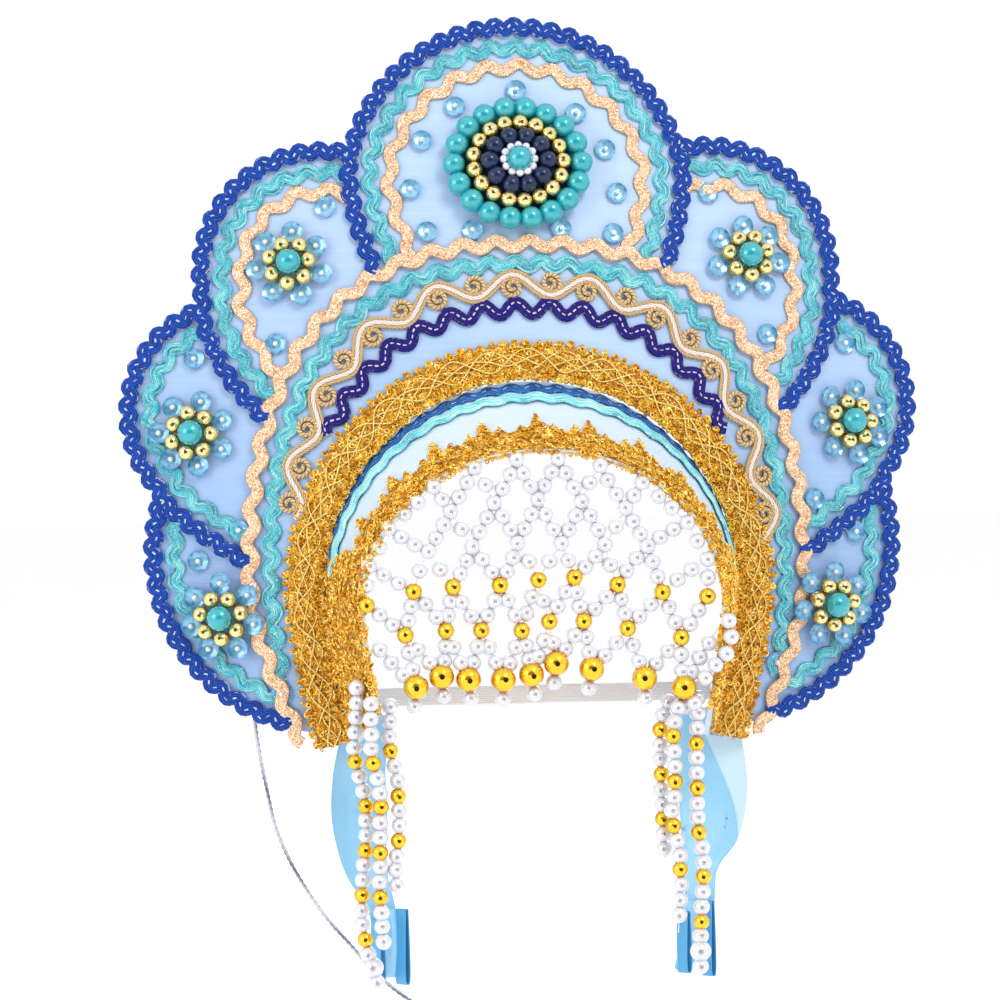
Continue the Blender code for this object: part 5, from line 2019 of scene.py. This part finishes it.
@dataclass
class Sequins:
    """Cupped, cut sequins, each with a clear seed bead on it."""

    size: float = 0.0084
    facets: int = 14

    def add(self, bm: bmesh.types.BMesh, place: Matrix) -> None:
        """Adds one sequin, its cup opening along the place's Z axis, and maps it from its hole to its rim."""
        layer = bm.loops.layers.uv.verify()
        radius = self.size / 2
        rings = ((0.12, 0.0005), (0.45, 0.0004), (0.80, 0.0008), (1.0, 0.0011), (0.98, 0.0005), (0.12, 0.0))
        made = bmesh.ops.create_circle(
            bm, cap_ends=False, segments=self.facets, radius=radius * rings[0][0]
        )["verts"]
        bmesh.ops.translate(bm, verts=made, vec=(0, 0, rings[0][1]))
        edges = list({edge for vertex in made for edge in vertex.link_edges})
        verts = set(made)
        for (share, height), (before, low) in zip(rings[1:], rings):
            grown = bmesh.ops.extrude_edge_only(bm, edges=edges)["geom"]
            fresh = [item for item in grown if isinstance(item, bmesh.types.BMVert)]
            edges = [item for item in grown if isinstance(item, bmesh.types.BMEdge)
                     and all(vertex in fresh for vertex in item.verts)]
            for vertex in fresh:
                vertex.co.x *= share / before
                vertex.co.y *= share / before
                vertex.co.z = height
            verts.update(fresh)
        bmesh.ops.remove_doubles(bm, verts=list(verts), dist=1e-9)
        verts = {vertex for vertex in verts if vertex.is_valid}
        faces = {face for vertex in verts for face in vertex.link_faces}
        closing = [edge for vertex in verts for edge in vertex.link_edges if edge.is_boundary]
        faces.update(bmesh.ops.bridge_loops(bm, edges=list(set(closing)))["faces"])
        for face in faces:
            for loop in face.loops:
                middle = face.calc_center_median()
                turn = math.atan2(middle.y, middle.x) / math.tau
                loop[layer].uv = (turn + 0.5, loop.vert.co.xy.length / radius)
        bmesh.ops.recalc_face_normals(bm, faces=list(faces))
        bmesh.ops.transform(bm, matrix=place, verts=list(verts))


@dataclass
class LooseSequins:
    """The sequins sewn one by one onto the satin."""

    places: tuple[tuple[float, float], ...] = (
        (-0.0235, 0.2525), (0.0014, 0.2588), (0.0252, 0.2492), (-0.0375, 0.2390), (0.0362, 0.2345),
        (-0.0430, 0.2195), (0.0400, 0.2170), (-0.0372, 0.2025), (-0.0190, 0.2029), (0.0165, 0.2031),
        (0.0375, 0.2008), (-0.0770, 0.2130), (-0.0985, 0.1590), (0.0776, 0.2165), (0.0989, 0.1595),
        (-0.1305, 0.1535), (-0.1150, 0.0855), (0.1315, 0.1555), (0.1160, 0.0935), (-0.1310, 0.0735),
        (-0.0993, 0.0209), (0.1330, 0.0800), (0.0985, 0.0290),
    )

    def build(self) -> None:
        """Makes the loose sequins and their seed beads."""
        dice = random.Random(3)
        cups, seeds = bmesh.new(), bmesh.new()
        sequin = Sequins()
        for x, z in self.places:
            point = Vector((x, z))
            tilt = nodded(dice, 0.07)
            spin = Matrix.Rotation(dice.uniform(0, math.tau), 4, "Z")
            place = SHAPE.seat(point, GAP + 0.0004) @ tilt @ spin
            sequin.add(cups, place)
            add_sphere(seeds, place @ Matrix.Translation((0, 0, 0.0016)), 0.0022, 8, 6)
        piece_from("loose_sequins", cups, [Bead.SEQUIN], sharp=30)
        piece_from("loose_sequin_seeds", seeds, [Bead.SEED])


@dataclass
class Flower:
    """A teal pearl in a ring of gold beads and a ring of sequins."""

    pearl: float = 0.0100
    gold: float = 0.0066
    gold_ring: float = 0.0081
    sequin_ring: float = 0.0134
    petals: int = 7

    def build(self, node: str, point: Vector, lift: float, spin: float) -> None:
        """Makes one flower.

        Args:
            node: The CAD node that it replaces.
            point: Its place in the front view.
            lift: Height of its foot over the crest.
            spin: Turn of its rings.
        """
        seat = SHAPE.seat(point, lift)
        dice = random.Random(node)
        pearl, golds, cups, seeds = bmesh.new(), bmesh.new(), bmesh.new(), bmesh.new()
        add_sphere(pearl, seat @ Matrix.Translation((0, 0, self.pearl * 0.62)), self.pearl, 28, 18)
        sequin = Sequins(0.0086)
        for petal in range(self.petals):
            angle = spin + math.tau * petal / self.petals
            turn = Matrix.Rotation(angle, 4, "Z")
            radius = self.gold_ring * dice.uniform(0.97, 1.03)
            place = seat @ turn @ Matrix.Translation((radius, 0, self.gold * 0.55))
            add_bead(golds, place @ nodded(dice, 0.2), self.gold, 20, 13)
            between = Matrix.Rotation(angle + math.pi / self.petals, 4, "Z")
            radius = self.sequin_ring * dice.uniform(0.96, 1.04)
            tilt = Matrix.Rotation(-0.10 + dice.uniform(-0.06, 0.06), 4, "Y")
            place = seat @ between @ Matrix.Translation((radius, 0, 0.0012)) @ tilt
            sequin.add(cups, place @ Matrix.Rotation(dice.uniform(0, math.tau), 4, "Z"))
            add_sphere(seeds, place @ Matrix.Translation((0, 0, 0.0016)), 0.0023, 8, 6)
        piece_from(f"{node}_pearl", pearl, [Bead.TEAL], [node])
        piece_from(f"{node}_golds", golds, [Bead.PALE_GOLD])
        piece_from(f"{node}_sequins", cups, [Bead.SEQUIN], sharp=30)
        piece_from(f"{node}_seeds", seeds, [Bead.SEED])


@dataclass
class Medallion:
    """The oval boss of ringed beads over a felt pad."""

    past_opening: float = 0.0842
    rings: tuple[tuple[int, float, float, float, float, Bead], ...] = (
        (18, 0.0257, 0.0233, 0.0094, 0.0046, Bead.TEAL),
        (17, 0.0181, 0.0164, 0.0066, 0.0068, Bead.PALE_GOLD),
        (10, 0.0116, 0.0104, 0.0077, 0.0082, Bead.NAVY),
        (12, 0.0062, 0.0059, 0.0033, 0.0100, Bead.SEED),
        (1, 0.0, 0.0, 0.0100, 0.0108, Bead.TEAL),
    )

    def build(self) -> None:
        """Makes the pad and the beads ring by ring."""
        point = SHAPE.polar(math.pi / 2, self.past_opening)
        seat = SHAPE.seat(point, GAP)
        dice = random.Random(21)
        pad = bmesh.new()
        bmesh.ops.create_uvsphere(pad, u_segments=48, v_segments=16, radius=1.0)
        bmesh.ops.bisect_plane(
            pad, geom=pad.verts[:] + pad.edges[:] + pad.faces[:], plane_co=(0, 0, 0), plane_no=(0, 0, -1),
            clear_outer=True,
        )
        bmesh.ops.holes_fill(pad, edges=[edge for edge in pad.edges if edge.is_boundary], sides=48)
        bmesh.ops.scale(pad, verts=pad.verts, vec=(0.0225, 0.0200, 0.0064))
        bmesh.ops.transform(pad, matrix=seat, verts=pad.verts)
        bmesh.ops.recalc_face_normals(pad, faces=pad.faces)
        piece_from("medallion_pad", pad, [Bead.FELT], ["medallion"])
        for number, (count, wide, high, size, height, finish) in enumerate(self.rings):
            rim = [
                Vector((wide * math.cos(angle), high * math.sin(angle)))
                for angle in (math.tau * step / 72 for step in range(73))
            ]
            seats = resampled(rim, lengths_along(rim)[-1] / count)[:-1] if count > 1 else [Vector((0, 0))]
            bm = bmesh.new()
            for spot in seats:
                place = seat @ Matrix.Translation((*spot, height + dice.uniform(-0.0003, 0.0003)))
                nod = nodded(dice, 0.2)
                grown = size * dice.uniform(0.97, 1.03)
                if finish is Bead.PALE_GOLD:
                    add_bead(bm, place @ nod, grown, 20, 13)
                else:
                    add_sphere(bm, place, grown, 24, 16)
            piece_from(f"medallion_ring_{number + 1}", bm, [finish])


@dataclass
class PearlNet:
    """The net of threaded pearls, with gold beads at its lower crossings."""

    pearl: float = 0.0068
    gold: float = 0.0068
    drop: float = 0.0100
    shift: float = -0.0016
    plane: float = -0.0368
    thread: float = 0.00035
    headings: tuple[tuple[float, float], ...] = (
        (-0.04125, 0.1030), (-0.02475, 0.1101), (-0.00825, 0.1131), (0.00825, 0.1131), (0.02475, 0.1101),
        (0.04125, 0.1030),
    )
    first: tuple[tuple[float, float], ...] = (
        (-0.0590, 0.0870), (-0.0346, 0.0932), (-0.0173, 0.0962), (0.0, 0.0972), (0.0173, 0.0962),
        (0.0346, 0.0932), (0.0590, 0.0870),
    )
    second: tuple[tuple[float, float], ...] = (
        (-0.0668, 0.0725), (-0.0435, 0.0778), (-0.0262, 0.0792), (-0.0084, 0.0802), (0.0090, 0.0798),
        (0.0262, 0.0790), (0.0432, 0.0780), (0.0668, 0.0725),
    )
    third: tuple[tuple[float, float], ...] = (
        (-0.0683, 0.0573), (-0.0496, 0.0622), (-0.0340, 0.0636), (-0.0156, 0.0639), (-0.0003, 0.0657),
        (0.0139, 0.0664), (0.0310, 0.0632), (0.0487, 0.0599), (0.0666, 0.0578),
    )
    fourth: tuple[tuple[float, float], ...] = (
        (-0.0531, 0.0451), (-0.0371, 0.0465), (-0.0231, 0.0464), (-0.0072, 0.0459), (0.0037, 0.0493),
        (0.0173, 0.0492), (0.0348, 0.0459), (0.0559, 0.0418),
    )
    fifth: tuple[tuple[float, float], ...] = (
        (-0.0493, 0.0248), (-0.0391, 0.0286), (-0.0285, 0.0273), (-0.0148, 0.0268), (-0.0036, 0.0286),
        (0.0062, 0.0329), (0.0202, 0.0304), (0.0412, 0.0262), (0.0567, 0.0221),
    )
    sides: tuple[tuple[float, float], ...] = ((-0.0690, 0.0450), (0.0690, 0.0450))

    def build(self) -> None:
        """Makes the pearls, the gold beads and the threads."""
        dice = random.Random(8)
        rows = [
            [Vector((x + self.shift, self.plane + dice.uniform(-0.0006, 0.0006), z)) for x, z in row]
            for row in (self.headings, self.first, self.second, self.third, self.fourth, self.fifth)
        ]
        strings = []
        for index, point in enumerate(rows[0]):
            strings += [(point, rows[1][index]), (point, rows[1][index + 1])]
        for upper, lower in ((1, 2), (2, 3)):
            for index, point in enumerate(rows[upper]):
                strings += [(point, rows[lower][index]), (point, rows[lower][index + 1])]
        for index, point in enumerate(rows[4]):
            strings += [(rows[3][index], point), (rows[3][index + 1], point)]
            strings += [(point, rows[5][index]), (point, rows[5][index + 1])]
        for (x, z), end in zip(self.sides, (rows[5][0], rows[5][-1])):
            strings.append((Vector((x, self.plane, z)), end))
        pearls, threads = bmesh.new(), []
        for start, end in strings:
            self.string(pearls, threads, start, end, dice)
        for row in rows[:3]:
            for point in row:
                add_bead(pearls, self.facing(point, dice), self.pearl)
        golds, drops = bmesh.new(), bmesh.new()
        for row in rows[3:5]:
            for point in row:
                add_bead(golds, self.facing(point + FRONT * 0.0006, dice), self.gold, 20, 13)
        for point in rows[5]:
            add_bead(drops, self.facing(point + FRONT * 0.0008, dice), self.drop, 28, 18)
            below = point + Vector((dice.uniform(-0.002, 0.002), 0.0012, -self.drop / 2 - self.pearl * 0.38))
            add_bead(pearls, self.facing(below, dice), self.pearl * 0.95)
        piece_from("net_pearls", pearls, [Bead.WHITE], ["pearl_net"])
        piece_from("net_gold_beads", golds, [Bead.GOLD])
        piece_from("net_drop_beads", drops, [Bead.GOLD])
        piece_from("net_threads", joined(threads), [Bead.SEED])

    def facing(self, point: Vector, dice: random.Random) -> Matrix:
        """A bead's place, its hole turned towards the front as a crossing bead's is."""
        return Matrix.Translation(point) @ Matrix.Rotation(math.pi / 2, 4, "X") @ nodded(dice, 0.12)

    def string(
        self, pearls: bmesh.types.BMesh, threads: list[bmesh.types.BMesh], start: Vector, end: Vector,
        dice: random.Random,
    ) -> None:
        """Pearls on one side of a mesh of the net, and its thread."""
        span = (end - start).length
        count = max(1, round(span / self.pearl - 1.05))
        bulge = Vector((0, -1, 0)).cross(end - start).normalized() * dice.uniform(-0.0006, 0.0006)
        for step in range(count):
            share = 0.5 + (step - (count - 1) / 2) * min(1 / (count + 1), self.pearl / span)
            point = start.lerp(end, share) + bulge * math.sin(math.pi * share)
            point.y += dice.uniform(-0.0006, 0.0006)
            add_bead(pearls, self.facing(point, dice), self.pearl * dice.uniform(0.97, 1.02))
        middle = start.lerp(end, 0.5) + bulge
        threads.append(tube_between([start, middle, end], self.thread / 2, 5))


@dataclass
class StrandPlan:
    """A string of beads: its node, its route, where its first bead lies, and its beads as letters."""

    node: str
    route: tuple[tuple[float, float, float], ...]
    start: float
    beads: str
    pitch: float = 0.00587


@dataclass
class Strands:
    """Three strings of beads at each temple: p is a pearl, g a gold bead and b a larger pearl."""

    pearl: float = 0.0065
    gold: float = 0.0064
    big: float = 0.0084
    rise: float = 0.0028
    plans: tuple[StrandPlan, ...] = (
        StrandPlan("strand_left_outer", (
            (-0.0740, -0.0350, 0.0235), (-0.0742, -0.0345, 0.0118), (-0.0753, -0.0340, -0.0030),
            (-0.0715, -0.0335, -0.0203), (-0.0711, -0.0335, -0.0375), (-0.0723, -0.0335, -0.0547),
            (-0.0731, -0.0335, -0.0720), (-0.0673, -0.0335, -0.0948),
        ), 0.0014, "pppppgppgppgppgppgpbp"),
        StrandPlan("strand_left_middle", (
            (-0.0688, -0.0413, 0.0190), (-0.0692, -0.0413, 0.0085), (-0.0692, -0.0410, -0.0029),
            (-0.0658, -0.0400, -0.0197), (-0.0664, -0.0395, -0.0372), (-0.0664, -0.0395, -0.0563),
            (-0.0656, -0.0395, -0.0780),
        ), 0.0031, "ppppgppgppgppgppp"),
        StrandPlan("strand_left_inner", (
            (-0.0608, -0.0355, 0.0190), (-0.0615, -0.0370, 0.0013), (-0.0587, -0.0380, -0.0167),
            (-0.0583, -0.0385, -0.0339), (-0.0599, -0.0385, -0.0464), (-0.0600, -0.0385, -0.0590),
        ), 0.0046, "pppgppgppgppp"),
        StrandPlan("strand_right_outer", (
            (0.0608, -0.0355, 0.0190), (0.0597, -0.0380, 0.0001), (0.0595, -0.0395, -0.0176),
            (0.0597, -0.0395, -0.0341), (0.0615, -0.0395, -0.0511), (0.0604, -0.0395, -0.0693),
            (0.0596, -0.0395, -0.0945),
        ), 0.0042, "pppgppgppgppgppgpbp"),
        StrandPlan("strand_right_middle", (
            (0.0549, -0.0365, 0.0170), (0.0505, -0.0390, 0.0026), (0.0511, -0.0395, -0.0147),
            (0.0495, -0.0395, -0.0328), (0.0524, -0.0395, -0.0494), (0.0512, -0.0395, -0.0770),
        ), 0.0001, "pppgppgppgppgppp"),
        StrandPlan("strand_right_inner", (
            (0.0512, -0.0312, 0.0165), (0.0462, -0.0325, 0.0043), (0.0460, -0.0330, -0.0131),
            (0.0462, -0.0330, -0.0305), (0.0472, -0.0330, -0.0490),
        ), 0.0033, "ppgppgppgpp"),
    )
    climb: tuple[tuple[float, float, float], ...] = (
        (0.0589, -0.0385, 0.0161), (0.0632, -0.0400, 0.0259), (0.0672, -0.0408, 0.0310),
        (0.0716, -0.0412, 0.0353), (0.0736, -0.0412, 0.0419), (0.0727, -0.0412, 0.0482),
    )

    def build(self) -> None:
        """Makes the six strings, and the few pearls that climb the band on the right."""
        dice = random.Random(14)
        for plan in self.plans:
            self.strand(plan, dice)
        bm = bmesh.new()
        for point in self.climb:
            add_bead(bm, Matrix.Translation(point) @ Matrix.Rotation(math.pi / 2, 4, "X"), self.pearl)
        piece_from("temple_pearls", bm, [Bead.WHITE])

    def strand(self, plan: StrandPlan, dice: random.Random) -> None:
        """Threads one string's beads along its route."""
        path = smooth_route([Vector(point) + UP * self.rise for point in plan.route], 0.0005)
        along = lengths_along(path)
        pearls, golds = bmesh.new(), bmesh.new()
        for step, letter in enumerate(plan.beads):
            target = plan.start + step * plan.pitch
            if target > along[-1]:
                break
            nod = nodded(dice, 0.15)
            spot = path[nearest(along, target)] + Vector((dice.uniform(-0.0003, 0.0003), 0, 0))
            place = Matrix.Translation(spot) @ Matrix.Rotation(math.pi / 2, 4, "X") @ nod
            if letter == "g":
                add_bead(golds, place, self.gold, 20, 13)
                continue
            size = self.big if letter == "b" else self.pearl * dice.uniform(0.98, 1.02)
            add_bead(pearls, place, size, 18, 12)
        thread = tube_between([*path[:-6:6], path[-1]], 0.0002, 5)
        piece_from(f"{plan.node}_pearls", pearls, [Bead.WHITE], [plan.node])
        piece_from(f"{plan.node}_golds", golds, [Bead.GOLD])
        piece_from(f"{plan.node}_thread", thread, [Bead.SEED])


@dataclass
class TieSection:
    """One section of a tie: its outer and inner edge, its height and its depth, in millimetres."""

    outer: float
    inner: float
    z: float
    y: float
    curl: float = 0.0


@dataclass
class Ties:
    """The two satin ties, folded up at the bottom."""

    cloth: float = 0.0004
    columns: int = 14
    row_pitch: float = 0.0012
    loops: tuple[tuple[float, float, float], ...] = ((-0.0048, -0.0945, -0.0700), (0.0050, -0.0960, -0.0660))
    fold_depth: float = 0.0072
    fold_wide: float = 0.0055
    fold_centre: float = 0.0044
    fold_turn: float = math.radians(38)
    left: tuple[TieSection, ...] = (
        TieSection(75.5, 57.5, 11, 9.5), TieSection(76.5, 57.5, 2, 9.5),
        TieSection(79.5, 58.5, -12, 9.0, 0.5),
        TieSection(80.5, 58.0, -28, 8.6, 1.0), TieSection(78.0, 58.5, -43, 8.6, 1.2),
        TieSection(74.0, 58.0, -54, 8.8, 1.4), TieSection(67.0, 55.5, -65, 8.8, 1.6),
        TieSection(64.0, 54.0, -79, 8.6, 1.6), TieSection(62.0, 54.5, -90, 8.2, 1.0),
        TieSection(61.5, 55.0, -93.5, 7.0), TieSection(61.3, 54.8, -90, 5.4),
        TieSection(62.0, 54.5, -78, 5.0, 1.0),
        TieSection(61.0, 55.5, -66, 5.2, 1.0),
    )
    right: tuple[TieSection, ...] = (
        TieSection(82.0, 58.0, 11, 9.8), TieSection(84.5, 58.5, 2, 9.8),
        TieSection(86.8, 58.5, -14, 9.2, 0.5),
        TieSection(86.5, 59.5, -28, 8.8, 1.0), TieSection(82.5, 60.0, -42, 8.6, 1.2),
        TieSection(74.5, 60.0, -53, 8.6, 1.4), TieSection(73.0, 61.5, -66, 8.6, 1.6),
        TieSection(72.5, 60.5, -80, 8.4, 1.6), TieSection(70.0, 57.0, -90, 8.0, 1.0),
        TieSection(69.5, 56.5, -93.5, 6.8), TieSection(69.5, 56.8, -90, 5.2),
        TieSection(70.5, 58.0, -78, 5.0, 1.0),
        TieSection(69.5, 60.0, -66, 5.2, 1.0),
    )

    def build(self) -> None:
        """Makes both ties."""
        for side, sections in ((-1, self.left), (1, self.right)):
            name = "ribbon_left" if side < 0 else "ribbon_right"
            self.tie(name, side, sections)

    def tie(self, node: str, side: int, sections: Sequence[TieSection]) -> None:
        """One tie, as a thin sheet with soft lengthwise folds."""
        outer = smooth_route([Vector((side * s.outer, s.y, s.z)) / 1000 for s in sections], self.row_pitch)
        rows = len(outer)
        inner = smooth_route([Vector((side * s.inner, s.y, s.z)) / 1000 for s in sections], self.row_pitch)
        inner = resampled(inner, lengths_along(inner)[-1] / (rows - 1))[:rows]
        curls = [s.curl for s in sections]
        bm = bmesh.new()
        layer = bm.loops.layers.uv.new("UVMap")
        bmesh.ops.create_grid(bm, x_segments=self.columns, y_segments=rows - 1, size=1.0)
        bm.verts.ensure_lookup_table()
        area = 0.0
        for vertex in bm.verts:
            row, column = divmod(vertex.index, self.columns + 1)
            share = column / self.columns
            spot = row / (rows - 1) * (len(curls) - 1)
            low = min(int(spot), len(curls) - 2)
            curl = curls[low] + (curls[low + 1] - curls[low]) * (spot - low)
            wave = math.sin(math.tau * share * 1.5 + row * 0.02) * curl * 0.0006
            vertex.co = inner[row].lerp(outer[row], share) + Vector((0, wave, 0))
        for face in bm.faces:
            for loop in face.loops:
                row, column = divmod(loop.vert.index, self.columns + 1)
                loop[layer].uv = (row * self.row_pitch, column / self.columns)
            area += face.calc_area()
        length = lengths_along([a.lerp(b, 0.5) for a, b in zip(inner, outer)])[-1]
        width = max((a - b).length for a, b in zip(inner, outer)) * 1.02
        bmesh.ops.solidify(bm, geom=bm.verts[:] + bm.edges[:] + bm.faces[:], thickness=self.cloth)
        bmesh.ops.recalc_face_normals(bm, faces=bm.faces)
        finish = Cloth.TIE if side < 0 else Cloth.TIE_FOLDED
        piece = piece_from(f"{node}_cloth", bm, [finish], [node], sharp=60)
        middle = (sections[-1].outer + sections[-1].inner) / 2000 * side
        folds = [
            self.fold(f"{node}_fold_{number + 1}", middle + shift, low, high)
            for number, (shift, low, high) in enumerate(self.loops)
        ]

    def fold(self, name: str, x: float, low: float, high: float) -> bpy.types.Object:
        """A narrow fold of the tie's end, doubled down into a loop.

        Args:
            name: The piece's name.
            x: Its middle.
            low: Height of the loop's bottom.
            high: Height of its top.

        Returns:
            The fold's object.
        """
        path = []
        for step in range(41):
            share = step / 40 * 2 - 1
            drop = 1 - abs(share) ** 2.4
            half = 0.0014 * math.sin(math.pi * min(1.0, abs(share) * 0.8 + 0.06)) ** 0.8
            path.append(Vector((x + math.copysign(half, share), high + (low - high) * drop)))
        sections = []
        for index, point in enumerate(path):
            across = side_step(path, index) * self.cloth * 0.6
            rear, fore = self.fold_depth, self.fold_depth - self.fold_wide
            sections.append([
                Vector((spot.x, depth, spot.y))
                for spot, depth in (
                    (point + across, rear), (point - across, rear), (point - across, fore), (point + across, fore)
                )
            ])
        bm = swept(sections, (0.0, 0.05, 0.5, 0.55, 1.0))
        turn = Matrix.Rotation(self.fold_turn, 3, "Z")
        bmesh.ops.rotate(bm, verts=bm.verts, cent=(x, self.fold_centre, 0), matrix=turn)
        # The fold wears the darker copy of the tie satin as painted shade.
        return piece_from(name, bm, [Cloth.TIE_PAINTED_SHADE], sharp=60)


@dataclass
class Strap:
    """The elastic strap across the back of the opening."""

    width: float = 0.0072
    thick: float = 0.0011

    def build(self) -> None:
        """Makes the ribbed strap where its solid lies."""
        low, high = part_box("elastic_strap")
        middle = (low + high) / 2
        ring, shares = flat_ring(self.width, self.thick, 18)
        sections = []
        for share in even_shares(120):
            x = low.x + (high.x - low.x) * share
            sag = 0.0002 * noise.noise(Vector((x * 40, 0, 0)))
            sections.append([
                Vector((x, middle.y + self.thick / 2 - height, middle.z + side + sag)) for side, height in ring
            ])
        bm = swept(sections, shares)
        piece_from("elastic_strap_weave", bm, [Braid.ELASTIC], ["elastic_strap"])


def clear_startup() -> None:
    """Removes whatever the startup scene holds."""
    for leftover in list(bpy.data.objects):
        bpy.data.objects.remove(leftover, do_unlink=True)


def main() -> None:
    """Builds the headdress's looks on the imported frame."""
    clear_startup()
    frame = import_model()
    LOG.info("frame of %d nodes", len(frame["nodes"]))
    Studio().build()
    TieCord().build()
    Crest().build()
    arch = ArchBraids()
    lines = arch.lines()
    arch.build(lines)
    LobeBraids().build(lines)
    BrowBand().build()
    LooseSequins().build()
    for side, sign in (("right", 1), ("left", -1)):
        for place, lobe in zip(PLACES, SHAPE.sides):
            point = SHAPE.polar(lobe.flower_angle, lobe.flower_past_opening)
            point.x *= sign
            lift = 0.0018 if place == "lower" else GAP
            Flower().build(f"flower_{place}_{side}", point, lift, 0.22 * (len(place) - 5 * sign))
    Medallion().build()
    PearlNet().build()
    Strands().build()
    Ties().build()
    Strap().build()


if __name__ == "__main__":
    logging.basicConfig(level=logging.INFO, format="%(relativeCreated)6d %(message)s")
    main()
